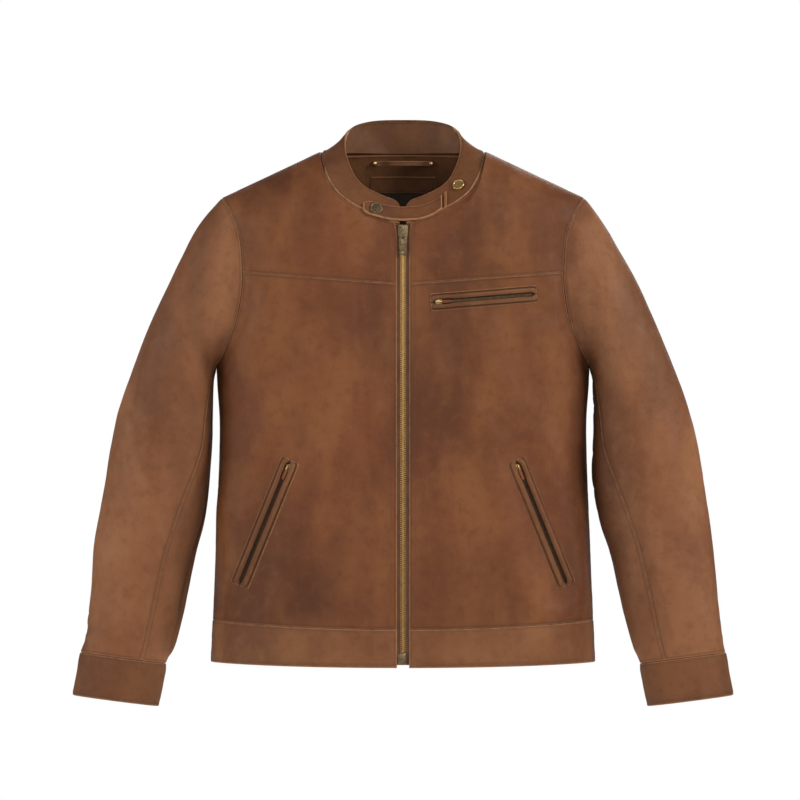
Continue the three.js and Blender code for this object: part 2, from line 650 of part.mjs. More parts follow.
// Where the facing's inner face lies at a place; the loop's upper corners come nearest to it.
function facingInnerY(x, z) {
  const slope = (backY(x, z + 1) - backY(x, z - 1)) / 2;
  return backY(x, z) - (FACING_DEPTH + LEATHER) * Math.hypot(1, slope);
}
const hangerY = facingInnerY(HANGER_LENGTH / 2, HANGER_HEIGHT + HANGER_WIDTH / 2) - 0.7;
const HANGER_BOW = 6; // its middle stands this far off the facing, so that a peg goes behind it
const loopAt = (u, v) => {
  const x = lerp(-0.5, 0.5, u) * HANGER_LENGTH;
  const slack = smooth((RIVET_PITCH / 2 - 2 * RIVET_RADIUS - Math.abs(x)) / (RIVET_PITCH / 4));
  return v3(x, hangerY - HANGER_BOW * slack, HANGER_HEIGHT + lerp(-0.5, 0.5, v) * HANGER_WIDTH);
};
const loop = sheet(loopAt, insideTorso, steps(26), steps(1), () => [0, HANGER_THICKNESS]);
const SHANK_RADIUS = RIVET_RADIUS * 0.45;
const rivetHoles = sides.map(({ side }) => {
  const hole = new THREE.CylinderGeometry(SHANK_RADIUS + MESH_GAP, SHANK_RADIUS + MESH_GAP, 20, 12);
  return hole.translate((side * RIVET_PITCH) / 2, hangerY, HANGER_HEIGHT);
});
add("hanger_loop", cut(loop, ...rivetHoles), leather);
for (const { side, name } of sides) {
  const rivet = new THREE.LatheGeometry(
    [
      [0, -0.3],
      [SHANK_RADIUS, -0.3],
      [SHANK_RADIUS, HANGER_THICKNESS + 0.3],
      [RIVET_RADIUS, HANGER_THICKNESS + 0.3],
      [RIVET_RADIUS * 0.8, HANGER_THICKNESS + 1],
      [0, HANGER_THICKNESS + 1.4],
    ].map(([r, h]) => v2(r, h)),
    12,
  );
  const mesh = add("hanger_rivet_" + name, rivet, brass);
  mesh.rotation.x = Math.PI;
  mesh.position.set((side * RIVET_PITCH) / 2, hangerY, HANGER_HEIGHT);
}

// ---------------------------------------------------------------- sleeves and cuffs
// Stations from the armhole down: the sleeve's outer and inner edge as offsets from the shoulder point
// and the underarm point, its front and back depth, and how far it hangs forward.
const SLEEVE = [
  { outer: [0, 0], inner: [0, 0], front: 42, back: 54, forward: 0 },
  { outer: [23, -24], inner: [1.6, -7], front: 47, back: 55, forward: 0 },
  { outer: [48.5, -69], inner: [2.6, -15], front: 50, back: 55, forward: 0 },
  { outer: [80.5, -129], inner: [3.2, -28], front: 52, back: 55, forward: 1 },
  { outer: [106, -189], inner: [3.6, -44], front: 52, back: 54, forward: 3 },
  { outer: [123.5, -249], inner: [4, -68], front: 50, back: 51, forward: 6 },
  { outer: [136, -309], inner: [5, -114], front: 47, back: 48, forward: 9 },
  { outer: [147, -370], inner: [13, -181], front: 44, back: 44, forward: 12 },
  { outer: [156.5, -430], inner: [27, -230], front: 41, back: 41, forward: 16 },
  { outer: [165, -490], inner: [41, -287], front: 37, back: 37, forward: 20 },
  { outer: [172, -545], inner: [55, -343], front: 32, back: 32, forward: 24 },
  { outer: [177.5, -571], inner: [63, -370], front: 28.5, back: 28.5, forward: 26 },
];
const stations = SLEEVE.length - 1;
const along = (pick) => profile(SLEEVE.map((station, i) => [i / stations, pick(station)]));
const sleeveAt = {
  outerX: along((s) => SHOULDER_HALF_WIDTH + s.outer[0]),
  outerZ: along((s) => SHOULDER_HEIGHT + s.outer[1]),
  innerX: along((s) => CHEST_HALF_WIDTH + s.inner[0]),
  innerZ: along((s) => UNDERARM_HEIGHT + s.inner[1]),
  front: along((s) => s.front),
  back: along((s) => s.back),
  forward: along((s) => s.forward),
};
// share 0 is at the inner edge, 0.25 at the front, 0.5 at the outer edge and 0.75 at the back.
function hoop(share, t) {
  const turn = share * 2 * Math.PI;
  const [c, s] = [(1 - Math.cos(turn)) / 2, Math.sin(turn)];
  const x = lerp(sleeveAt.innerX(t), sleeveAt.outerX(t), c);
  const z = lerp(sleeveAt.innerZ(t), sleeveAt.outerZ(t), c);
  const deep = s > 0 ? sleeveAt.front(t) : sleeveAt.back(t);
  return v3(x, -deep * s - sleeveAt.forward(t), z);
}
function armholeRing(share) {
  const turn = share * 2 * Math.PI;
  const z = lerp(UNDERARM_HEIGHT, SHOULDER_HEIGHT, (1 - Math.cos(turn)) / 2);
  const x = armholeX(z);
  return v3(x, Math.sin(turn) > 0 ? plainFrontY(x, z) : backY(x, z), z);
}
const SETTLE = 1.5 / stations; // the armhole's own shape fades out over this share of the sleeve
function sleeve(share, t) {
  const wrapped = ((share % 1) + 1) % 1;
  const settled = 0.5 * smooth(t / SETTLE) + 0.5 * Math.min(1, t / SETTLE);
  return armholeRing(wrapped).lerp(hoop(wrapped, t), settled);
}
const insideSleeve = (p, share, t) => hoop(0.25, t).add(hoop(0.75, t)).multiplyScalar(0.5);
const SLEEVE_SEAM_FRONT = profile([
  [0, 0.07],
  [0.5, 0.1],
  [0.65, 0.17],
  [1, 0.18],
]);
const SLEEVE_SEAM_BACK = (t) => -SLEEVE_SEAM_FRONT(t) - 0.02;
const SLEEVE_START_OUTER = 0.005; // the cap starts this share down the sleeve at the shoulder
const SLEEVE_START_INNER = 0.022; // and this one at the underarm, where the stations lie close together
const sleeveRows = [0, 0.045, 0.1, 0.17, 0.26, 0.36, 0.47, 0.58, 0.7, 0.82, 0.92, 1];
const fromArmhole = (share, t) => {
  const outer = (1 - Math.cos(share * 2 * Math.PI)) / 2;
  return lerp(lerp(SLEEVE_START_INNER, SLEEVE_START_OUTER, outer), 1, t);
};
const sleeveFrom = (share, t) => sleeve(share, fromArmhole(share, t));
const bandOf = (low, high, inset) => (u, t) =>
  sleeveFrom(lerp(low(t) + inset, high(t) - inset, u), t);
// Round the whole sleeve: the under sleeve's columns first, then the top sleeve's.
const UNDER_COLUMNS = 6;
const TOP_COLUMNS = 14;
const UNDER_SHARE = UNDER_COLUMNS / (UNDER_COLUMNS + TOP_COLUMNS);
const roundSleeve = (u, t) => {
  const [back, front] = [SLEEVE_SEAM_BACK(t), SLEEVE_SEAM_FRONT(t)];
  const wrapped = ((u % 1) + 1) % 1;
  if (wrapped < UNDER_SHARE) return sleeveFrom(lerp(back, front, wrapped / UNDER_SHARE), t);
  return sleeveFrom(lerp(front, back + 1, (wrapped - UNDER_SHARE) / (1 - UNDER_SHARE)), t);
};
const cuffForm = (share, v) => {
  const top = sleeve(share, 1);
  const down = v3(9.5, -2, -54).normalize();
  return top.addScaledVector(down, CUFF_HEIGHT * v);
};
const insideCuff = (p, share, v) => cuffForm(0.25, v).add(cuffForm(0.75, v)).multiplyScalar(0.5);
for (const { side, name } of sides) {
  const inset = 0.0008;
  const under = sheet(
    bandOf(SLEEVE_SEAM_BACK, SLEEVE_SEAM_FRONT, inset),
    insideSleeve,
    steps(UNDER_COLUMNS),
    held(sleeveRows, 0, 0.001),
    oneLayer,
  );
  const top = sheet(
    bandOf(SLEEVE_SEAM_FRONT, (t) => SLEEVE_SEAM_BACK(t) + 1, inset),
    insideSleeve,
    steps(TOP_COLUMNS),
    held(sleeveRows, 0, 0.001),
    oneLayer,
  );
  const inner = sheet(
    roundSleeve,
    insideSleeve,
    steps(UNDER_COLUMNS + TOP_COLUMNS),
    held(sleeveRows, 0.012, 0.004),
    () => [LEATHER + LAYER_GAP, LEATHER + LAYER_GAP + LINING],
    true,
  );
  const cuff = sheet(
    cuffForm,
    insideCuff,
    steps(20),
    [SLEEVE_END_CLEARANCE / CUFF_HEIGHT, 1],
    bandDepth,
    true,
  );
  add("sleeve_under_" + name, mirrored(under, side), leather);
  add("sleeve_top_" + name, mirrored(top, side), leather);
  add("lining_sleeve_" + name, mirrored(inner, side), cloth);
  add("cuff_" + name, mirrored(cuff, side), leather);
}

// ---------------------------------------------------------------- pocket lips, zips, sliders, pulls and bags
// Each is made in its pocket's frame: x along the opening, y inward, z across it.
const RIDGE = [2.4, 3.8]; // the pocket chain's teeth, from near face to far face
const POCKET_TAPE = [2.8, 3.4];
const POCKET_TAPE_HALF = 8;
const POCKET_RIDGE_HALF = 2.2;
const POCKET_SLIDER_HALF = 4;
const POCKET_SLIDER_LENGTH = 9;
const POCKET_SLIDER_PLATE = 0.8;
const POCKET_PULL_HINGE = 5.9; // from the slider's end to the pull's pin
const POCKET_PULL_REACH = 15; // from the pin to the tip of the tongue
const END_TAB = 6;
const PARTED_LENGTH = 24;
const PARTED_EXTRA = 1.1;
const BAG = [6.2, 8.2];
const handed = (frame, side) => {
  const group = new THREE.Group();
  if (side < 0) group.scale.x = -1;
  const inner = new THREE.Group();
  inner.matrixAutoUpdate = false;
  inner.matrix.copy(frame.matrix);
  group.add(inner);
  jacket.add(group);
  return inner;
};
function pocketPieces(frame, side, names, bagCorners) {
  const here = handed(frame, side);
  const half = frame.length / 2;
  const rim = frame.height / 2;
  const slot = SLOT / 2;
  const [near, far] = [-LIP_PROUD, LIP_DEPTH];
  const parted = -half + END_TAB + PARTED_LENGTH; // the lips part round the slider and its pull
  const wide = slot + PARTED_EXTRA;
  const low = -slot - POCKET_CLEARANCE;
  const upperLip = [
    [-half, rim],
    [-half, low + POCKET_CLEARANCE],
    [-half + END_TAB, low + POCKET_CLEARANCE],
    [-half + END_TAB, wide],
    [parted, wide],
    [parted + 6, slot],
    [half - END_TAB, slot],
    [half - END_TAB, low + POCKET_CLEARANCE],
    [half, low + POCKET_CLEARANCE],
    [half, rim],
  ];
  const lowerLip = [
    [-half, -rim],
    [half, -rim],
    [half, low],
    [parted + 6, low],
    [parted, -wide],
    [-half + END_TAB, -wide],
    [-half + END_TAB - 1, low],
    [-half, low],
  ];
  add(names.upper, plate(upperLip, near, far), leather, here);
  add(names.lower, plate(lowerLip, near, far), leather, here);

  const tapeEnd = half - 1;
  const start = -half + END_TAB;
  const chain = join(
    block([-tapeEnd, POCKET_TAPE[0], -POCKET_TAPE_HALF], [tapeEnd, POCKET_TAPE[1], POCKET_TAPE_HALF]),
    block(
      [start + POCKET_SLIDER_LENGTH + 2, RIDGE[0], -POCKET_RIDGE_HALF],
      [half - END_TAB, RIDGE[1], POCKET_RIDGE_HALF],
    ),
  );
  const opening = block([start - 1, 0, -0.8], [start + POCKET_SLIDER_LENGTH + 1, 6, 0.8]);
  add(names.chain, cut(chain, opening), tapeAndBrass, here);

  const w = POCKET_SLIDER_HALF;
  const plates = [
    [RIDGE[0] - 0.3 - POCKET_SLIDER_PLATE, RIDGE[0] - 0.3],
    [RIDGE[1] + 0.3, RIDGE[1] + 0.3 + POCKET_SLIDER_PLATE],
  ].map(([a, b]) => block([start, a, -w], [start + POCKET_SLIDER_LENGTH, b, w]));
  const post = block([start, RIDGE[0] - 0.5, -0.5], [start + 1.6, RIDGE[1] + 0.5, 0.5]);
  const crownTop = RIDGE[0] - 0.3 - POCKET_SLIDER_PLATE - 2.8;
  const crown = plate(
    [
      [start + 2, -1],
      [start + 8, -1],
      [start + 8, 1],
      [start + 2, 1],
    ],
    crownTop,
    RIDGE[0] - 0.9,
  );
  const eye = block([start + 3.2, crownTop + 0.8, -3], [start + 6.8, crownTop + 2.4, 3]);
  add(names.slider, cut(join(...plates, post, crown), eye), brass, here);

  // The pull's eye threads the crown and its tongue lies in the slot.
  const axisX = start + POCKET_PULL_HINGE;
  const axisY = crownTop + 1.6;
  const pull = join(
    block([axisX - 0.45, axisY - 0.4, -1.9], [axisX + 0.45, axisY + 0.4, 1.9]),
    block([axisX - 0.45, axisY - 0.4, 1.25], [axisX + 3.4, axisY + 0.4, 1.9]),
    block([axisX - 0.45, axisY - 0.4, -1.9], [axisX + 3.4, axisY + 0.4, -1.25]),
    block([axisX + 2.7, axisY - 0.4, -1.9], [axisX + POCKET_PULL_REACH, axisY + 0.4, 1.9]),
  );
  add(names.pull, pull, brass, here);

  // The cloth bag hangs inside, sewn round the back of the zip.
  const mouth = cut(
    block([-half - 3, RIDGE[1] + 0.1, -rim - 1], [half + 3, BAG[1] - 0.4, rim + 1]),
    block([-half - 0.5, 0, -POCKET_TAPE_HALF + 1.6], [half + 0.5, 12, POCKET_TAPE_HALF - 1.6]),
  ).applyMatrix4(frame.matrix);
  const patch = (u, v) => {
    const [a, b, c, d] = bagCorners.map(([x, z]) => v2(x, z));
    const at = a.lerp(b, u).lerp(d.lerp(c, u), v);
    return onFront(side)(at);
  };
  const bag = sheet(patch, insideTorso, steps(5), steps(5), () => BAG);
  add(names.bag, mirrored(join(bag, mouth), side), cloth);
  const toWorld = (p, direction = false) => {
    const moved = direction ? p.transformDirection(frame.matrix) : p.applyMatrix4(frame.matrix);
    return v3(moved.x * side, moved.y, moved.z);
  };
  const travel = 2 * half - 2 * END_TAB - POCKET_PULL_HINGE - POCKET_PULL_REACH - POCKET_CLEARANCE;
  return {
    slide: { axis: toWorld(v3(1, 0, 0), true), travel },
    pull: { pos: toWorld(v3(axisX, axisY, 0)), axis: toWorld(v3(0, 0, 1), true) },
  };
}
const namesFor = (prefix) => ({
  upper: prefix + "_welt_upper",
  lower: prefix + "_welt_lower",
  chain: prefix + "_zip_chain",
  slider: prefix + "_slider",
  pull: prefix + "_pull",
  bag: prefix + "_bag",
});
const axes = {};
axes.chest = pocketPieces(chestFrame, 1, namesFor("chest_pocket"), [
  [40, 345],
  [160, 345],
  [168, 470],
  [36, 459],
]);
for (const { side, name } of sides)
  axes["hand_" + name] = pocketPieces(handFrame, side, namesFor("hand_pocket_" + name), [
    [104, 88],
    [210, 96],
    [150, 264],
    [88, 258],
  ]);

// ---------------------------------------------------------------- front edges, facings and the main zip
// All made in the front's flat plane: x across, y inward, z up along the zip.
const plane = new THREE.Group();
plane.position.set(0, -FRONT_DEPTH_HEM, 0);
plane.rotation.x = -FRONT_LEAN;
jacket.add(plane);
plane.updateMatrixWorld(true);
const upZip = 1 / Math.cos(FRONT_LEAN); // length along the zip for each millimetre of height
const fold = (z) => foldX(z) - SEAM * 1.2;
const CHAIN_NEAR = 0.6;
const CHAIN_FAR = CHAIN_NEAR + CHAIN_THICKNESS;
const TAPE_NEAR = 1.9;
const FACING_NEAR = 2.8;
const top = NECK_FRONT_HEIGHT * upZip;
for (const { side, name } of sides) {
  const flat = new THREE.Group();
  flat.scale.x = side;
  plane.add(flat);
  const bandTop = WAISTBAND_HEIGHT;
  const edge = plate(
    [
      [ZIP_EDGE, bandTop + SEAM],
      [fold(bandTop), bandTop + SEAM + 1.9],
      [fold(NECK_FRONT_HEIGHT), top],
      [ZIP_EDGE, top],
    ],
    0,
    LEATHER,
  );
  add("front_edge_" + name, edge, leather, flat);
  const end = plate(
    [
      [ZIP_EDGE, 0.2],
      [fold(0), 1.3],
      [fold(bandTop), bandTop - SEAM + 1.3],
      [ZIP_EDGE, bandTop - SEAM],
    ],
    -BAND_PROUD,
    LEATHER,
  );
  add("waistband_end_" + name, end, leather, flat);
  const facing = plate(
    [
      [ZIP_EDGE + 2.4, 1],
      [fold(0) - 1, 2.5],
      [fold(540) - 1, 540],
      [ZIP_EDGE + 2.4, 540],
    ],
    FACING_NEAR,
    FACING_NEAR + LEATHER,
  );
  add("facing_" + name, facing, darkLeather, flat);
  const chainLow = BOX_HIGH + 1;
  const chainHigh = SLIDER_REST - SLIDER_LENGTH / 2 + 9;
  const half = join(
    block([MESH_GAP / 2, CHAIN_NEAR, chainLow], [CHAIN_HALF_WIDTH, CHAIN_FAR, chainHigh]),
    block([1, TAPE_NEAR, 1], [1 + TAPE_WIDTH, TAPE_NEAR + TAPE_THICKNESS, top - 2]),
  );
  const forPost = block([-1, 0, chainHigh - 1], [1.6, 6, top]);
  const forBox = block([-1, 0, 0], [ZIP_EDGE + 0.2, 6, BOX_HIGH + 0.5]);
  add("zip_half_" + name, cut(half, forPost, forBox), tapeAndBrass, flat);
}

// The slider: two plates joined by a post at the top, and a crown that holds the pull.
const sliderLow = SLIDER_REST - SLIDER_LENGTH / 2;
const sliderHigh = SLIDER_REST + SLIDER_LENGTH / 2;
const sliderOutline = [
  [-SLIDER_WIDTH / 2 + 1.6, sliderLow],
  [SLIDER_WIDTH / 2 - 1.6, sliderLow],
  [SLIDER_WIDTH / 2, sliderLow + 6],
  [SLIDER_WIDTH / 2, sliderHigh - 2],
  [SLIDER_WIDTH / 2 - 2, sliderHigh],
  [-SLIDER_WIDTH / 2 + 2, sliderHigh],
  [-SLIDER_WIDTH / 2, sliderHigh - 2],
  [-SLIDER_WIDTH / 2, sliderLow + 6],
];
const outerPlate = [CHAIN_NEAR - SLIDER_CLEARANCE - SLIDER_PLATE, CHAIN_NEAR - SLIDER_CLEARANCE];
const innerPlate = [CHAIN_FAR + SLIDER_CLEARANCE, CHAIN_FAR + SLIDER_CLEARANCE + SLIDER_PLATE];
const CROWN = { low: sliderLow + 1, high: sliderHigh - 1.5, rise: 3.6, wall: 1.6, half: 1.1 };
const crownNear = outerPlate[0] - CROWN.rise;
const crown = cut(
  block([-CROWN.half, crownNear, CROWN.low], [CROWN.half, outerPlate[0] + 0.5, CROWN.high]),
  block(
    [-3, crownNear + 1.1, CROWN.low + CROWN.wall],
    [3, outerPlate[0] - 0.2, CROWN.high - CROWN.wall],
  ),
);
const slider = join(
  plate(sliderOutline, ...outerPlate),
  plate(sliderOutline, ...innerPlate),
  block([-0.9, outerPlate[1] - 0.2, sliderHigh - 3.4], [0.9, innerPlate[0] + 0.2, sliderHigh - 0.4]),
  crown,
);
add("main_slider", slider, brass, plane);

const pullAxis = { y: (crownNear + 1.1 + outerPlate[0] - 0.2) / 2, z: CROWN.low + CROWN.wall + 0.95 };
const pullTop = pullAxis.z + 0.6;
const pullWindow = [
  [-CROWN.half - 0.6, pullTop - 6.4],
  [CROWN.half + 0.6, pullTop - 6.4],
  [CROWN.half + 0.6, pullTop - 1.2],
  [-CROWN.half - 0.6, pullTop - 1.2],
];
const pullOutline = [
  [-PULL_WIDTH / 2 + 2, pullTop],
  [-PULL_WIDTH / 2, pullTop - 4],
  [-PULL_WIDTH / 2, pullTop - PULL_LENGTH + 2],
  [-PULL_WIDTH / 2 + 2, pullTop - PULL_LENGTH],
  [PULL_WIDTH / 2 - 2, pullTop - PULL_LENGTH],
  [PULL_WIDTH / 2, pullTop - PULL_LENGTH + 2],
  [PULL_WIDTH / 2, pullTop - 4],
  [PULL_WIDTH / 2 - 2, pullTop],
];
const pullEye = steps(8).slice(0, -1).map((share) => {
  const turn = share * 2 * Math.PI;
  return [1.5 * Math.cos(turn), pullTop - PULL_LENGTH + 4 + 1.5 * Math.sin(turn)];
});
add(
  "main_pull",
  plate(pullOutline, pullAxis.y - PULL_THICKNESS / 2, pullAxis.y + PULL_THICKNESS / 2, [
    pullWindow,
    pullEye,
  ]),
  brass,
  plane,
);

// The insertion box stays on the wearer's right half; the pin on the left half drops into it.
const boxBody = block([-6.6, -0.4, BOX_LOW], [3.4, 4.8, BOX_HIGH]);
const boxSlot = block([-0.6, 0.8, BOX_LOW - 1], [4, 3.6, BOX_HIGH + 1]);
add("insertion_box", cut(boxBody, boxSlot), brass, plane);
add("insertion_pin", block([0.3, 1.5, BOX_LOW + 1], [3, 2.9, BOX_HIGH + 0.4]), brass, plane);

const inPlane = (x, y, z) => v3(x, y, z).applyMatrix4(plane.matrixWorld);
const foldBottom = (side) => inPlane(side * FOLD_HEM, -FOLD_PROUD, 0);
const foldTop = (side) => inPlane(side * FOLD_TOP, -FOLD_PROUD, top);
axes.front_left = { pos: foldBottom(1), axis: foldTop(1).sub(foldBottom(1)).normalize() };
axes.front_right = { pos: foldBottom(-1), axis: foldTop(-1).sub(foldBottom(-1)).normalize() };
axes.main_slider = {
  axis: v3(0, 0, -1).transformDirection(plane.matrixWorld),
  travel: sliderLow - BOX_HIGH - 2,
};
axes.main_pull = { pos: inPlane(0, pullAxis.y, pullAxis.z), axis: v3(1, 0, 0) };

// ---------------------------------------------------------------- throat strap and snaps
// The middle of the strap's inner face, from its root in the collar's slit to its pointed tip.
const strapPath = new THREE.CatmullRomCurve3(
  [
    [49, 7.2, 27.5],
    [37, 4.4, 19.5],
    [25, 3.4, 14.8],
    [10, 3.2, 12.8],
    [-5, 3.2, 12.6],
    [-20, 2.8, 14.4],
    [-34, 3.1, 18],
    [-50, 2.2, 21.5],
  ].map(([x, back, up]) => v3(x, back - FRONT_DEPTH_NECK, NECK_FRONT_HEIGHT + up)),
);
const strapAcross = v3(0, Math.sin(STRAP_LEAN), Math.cos(STRAP_LEAN));
const strapWidthAt = (u) => (u < 0.93 ? 1 : lerp(1, 0.5, (u - 0.93) / 0.07));
const strap = (u, v) =>
  strapPath.getPoint(u).addScaledVector(strapAcross, (v - 0.5) * STRAP_WIDTH * strapWidthAt(u));
const strapSteps = [0, 0.1, 0.2, 0.3, 0.4, 0.5, 0.6, 0.7, 0.8, 0.88, 0.93, 1];
add(
  "throat_strap",
  sheet(strap, insideCollar, strapSteps, [0, 0.5, 1], () => [-STRAP_THICKNESS, 0]),
  leather,
);

function snapDome(radius, height) {
  const rows = [
    [0, 0],
    [radius, 0],
    [radius, height * 0.4],
    [radius * 0.86, height * 0.75],
    [radius * 0.5, height * 0.95],
    [0, height],
  ];
  return new THREE.LatheGeometry(rows.map(([r, h]) => v2(r, h)), 16);
}
function stand(mesh, at, outward) {
  mesh.position.copy(at);
  mesh.quaternion.setFromUnitVectors(v3(0, 1, 0), outward);
}
const SNAP_SHARE = 0.855;
const snapSeat = strapPath.getPoint(SNAP_SHARE);
const strapRun = strapPath.getTangent(SNAP_SHARE);
const strapOut = strapRun.clone().cross(strapAcross).normalize();
if (strapOut.y > 0) strapOut.negate();
stand(
  add("snap_cap", snapDome(SNAP_RADIUS, SNAP_HEIGHT), brass),
  snapSeat.clone().addScaledVector(strapOut, STRAP_THICKNESS + 0.35),
  strapOut,
);
// The nearest place on the collar to a point, by trying a grid of them.
function nearestOnCollar(point, from, to) {
  let best = { distance: Infinity };
  for (let i = 0; i <= 80; i++)
    for (let j = 0; j <= 40; j++) {
      const at = collar(lerp(from, to, i / 80), j / 40);
      const distance = at.distanceTo(point);
      if (distance < best.distance) best = { distance, at, share: lerp(from, to, i / 80), v: j / 40 };
    }
  return best;
}
const under = nearestOnCollar(snapSeat, 0.85, 0.999);
const studTop = snapSeat.clone().addScaledVector(strapOut, -0.3);
const studHeight = Math.max(0.6, under.distance - 1);
stand(
  add("snap_stud", snapDome(STUD_RADIUS, studHeight), brass),
  studTop.clone().addScaledVector(strapOut, -studHeight),
  strapOut,
);
const PARK_SHARE = shareAtX(70, 0.5);
const parkSeat = collar(PARK_SHARE, 0.5);
const parkOut = collar(PARK_SHARE + 0.01, 0.5)
  .sub(collar(PARK_SHARE - 0.01, 0.5))
  .cross(collar(PARK_SHARE, 0.6).sub(collar(PARK_SHARE, 0.4)))
  .normalize();
if (parkOut.y > 0) parkOut.negate();
stand(
  add("park_snap", snapDome(SNAP_RADIUS, SNAP_HEIGHT), brass),
  parkSeat.clone().addScaledVector(parkOut, 0.7),
  parkOut,
);
axes.throat_strap = { pos: strapPath.getPoint(0), axis: strapAcross.clone() };

// ---------------------------------------------------------------- origin
// The origin is where a peg carries the hanger loop: the middle of its lower edge.
const carried = v3(
  0,
  hangerY - HANGER_BOW - HANGER_THICKNESS / 2,
  HANGER_HEIGHT - HANGER_WIDTH / 2,
);
jacket.position.copy(carried).negate();
for (const entry of Object.values(axes))
  for (const joint of entry.slide ? [entry.slide, entry.pull] : [entry])
    if (joint.pos) joint.pos.sub(carried);
jacket.userData.axes = axes;

export default jacket;
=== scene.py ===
import math

import bmesh
import bpy
import numpy as np
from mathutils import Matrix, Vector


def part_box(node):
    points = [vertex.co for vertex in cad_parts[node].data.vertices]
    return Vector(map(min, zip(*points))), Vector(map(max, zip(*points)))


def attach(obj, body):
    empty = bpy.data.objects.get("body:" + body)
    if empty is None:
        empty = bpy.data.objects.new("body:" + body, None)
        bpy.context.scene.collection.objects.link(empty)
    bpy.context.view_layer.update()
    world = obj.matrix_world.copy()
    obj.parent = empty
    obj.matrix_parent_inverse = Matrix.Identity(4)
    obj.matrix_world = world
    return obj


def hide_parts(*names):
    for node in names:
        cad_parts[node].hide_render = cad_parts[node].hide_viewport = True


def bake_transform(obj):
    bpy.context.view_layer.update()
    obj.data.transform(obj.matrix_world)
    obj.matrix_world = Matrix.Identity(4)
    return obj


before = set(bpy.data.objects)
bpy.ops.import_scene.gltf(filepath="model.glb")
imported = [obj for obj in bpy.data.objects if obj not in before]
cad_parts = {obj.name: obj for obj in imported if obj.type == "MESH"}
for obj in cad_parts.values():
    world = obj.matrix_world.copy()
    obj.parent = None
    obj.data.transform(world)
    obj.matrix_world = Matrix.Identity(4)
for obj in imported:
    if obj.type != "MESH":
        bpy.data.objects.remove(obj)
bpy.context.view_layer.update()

# ---------------------------------------------------------------- the room
# The jacket hangs from its loop in a white room. A long lens looks at it square from the front, a soft
# light stands high on the right, and weaker ones on the left, in front and behind.
VIEW_DISTANCE = 12.0
FIELD = 1.002  # width of what the camera takes in at the jacket, in metres
SENSOR = 36.0

eye = bpy.data.cameras.new("camera")
eye.lens = SENSOR * VIEW_DISTANCE / FIELD
eye.sensor_width = SENSOR
camera = bpy.data.objects.new("camera", eye)
camera.location = (-0.0038, -0.115 - VIEW_DISTANCE, -0.2962)
camera.rotation_euler = (math.pi / 2, 0, 0)
bpy.context.collection.objects.link(camera)
bpy.context.scene.camera = camera
bpy.context.scene.view_settings.view_transform = "Standard"

world = bpy.data.worlds.new("white room")
world.use_nodes = True
bpy.context.scene.world = world
white = world.node_tree.nodes["Background"]
white.inputs["Color"].default_value = (1, 1, 1, 1)
shade = world.node_tree.nodes.new("ShaderNodeBackground")
shade.inputs["Color"].default_value = (0.95, 0.97, 1, 1)
shade.inputs["Strength"].default_value = 0.31
seen = world.node_tree.nodes.new("ShaderNodeLightPath")
either = world.node_tree.nodes.new("ShaderNodeMixShader")
for source, target in (
    (seen.outputs["Is Camera Ray"], either.inputs[0]),
    (shade.outputs[0], either.inputs[1]),
    (white.outputs[0], either.inputs[2]),
    (either.outputs[0], world.node_tree.nodes["World Output"].inputs[0]),
):
    world.node_tree.links.new(source, target)


def soft_light(name, place, size, power, tint):
    lamp = bpy.data.lights.new(name, "AREA")
    lamp.size = size
    lamp.energy = power
    lamp.color = tint
    light = bpy.data.objects.new(name, lamp)
    light.location = place
    towards = np.array((0, 0, -0.3)) - np.array(place)
    pitch = math.atan2(math.hypot(towards[0], towards[1]), -towards[2])
    light.rotation_euler = (pitch, 0, math.atan2(towards[1], towards[0]) - math.pi / 2)
    bpy.context.collection.objects.link(light)


soft_light("key", (2.4, -1.3, 1.2), 0.9, 78, (1, 0.97, 0.92))
soft_light("front", (0.4, -3.0, 0.9), 1.6, 24, (1, 0.98, 0.95))
soft_light("fill", (-2.5, -1.2, 0.5), 1.2, 46, (1, 0.98, 0.95))
soft_light("back light", (0.6, 2.8, 1.0), 1.8, 36, (1, 1, 1))

bpy.ops.mesh.primitive_plane_add(size=22, location=(0, 0, -1.3))
floor = bpy.context.object
floor.name = "floor"
paint = bpy.data.materials.new("pale floor")
paint.use_nodes = True
coat = paint.node_tree.nodes["Principled BSDF"].inputs
coat["Base Color"].default_value = (0.86, 0.86, 0.86, 1)
coat["Roughness"].default_value = 0.9
coat["Emission Color"].default_value = (1, 1, 1, 1)
coat["Emission Strength"].default_value = 0.2
floor.data.materials.append(paint)

# ---------------------------------------------------------------- fronts
# Each front below the yoke is one hide from the zip to the side seam, with windows for its pockets.
# It is sewn into the waistband, the yoke and the side, and swings open from a soft fold beside the zip.
# The leather is waxed cowhide dyed by hand: brown with redder and paler clouds, rubbed to tan at its edges.
LEATHER = 1.4  # millimetres, measured as the sleeves hang: x to the wearer's left, y back, z from the hem
HEM_HALF, WAIST_HALF, CHEST_HALF = 242, 231, 235
WAIST_HEIGHT, UNDERARM = 300, 375
NECK_FRONT, NECK_HALF, NECK_SIDE = 557, 105, 648
SHOULDER_HALF, SHOULDER = 228, 590
ARMHOLE_INSET = 33
FRONT_DEPTH_HEM, FRONT_DEPTH_NECK = 82, 58
BACK_DEPTH_HEM, BACK_DEPTH_WAIST, BACK_DEPTH_BLADES = 72, 66, 92
FLAT_SHARE = 0.42
BAND_TOP, BAND_RISE, HEM_RISE, BAND_PROUD = 48, 11, 6, 0.4
YOKE, YOKE_SLOPE, BACK_YOKE = 481, 0.075, 505
FOLD_TOP, FOLD_HEM = 9.5, 84
ZIP_EDGE = 7.6
FRONT_WIDE, FRONT_TALL = 290, 430  # along the hide, to space its grid
LOOP_HEIGHT = 632  # the frame's origin lies this high over the hem
LOOP_DEPTH = -FRONT_DEPTH_HEM - BAND_PROUD - 1000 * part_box("waistband_end_left")[0].y


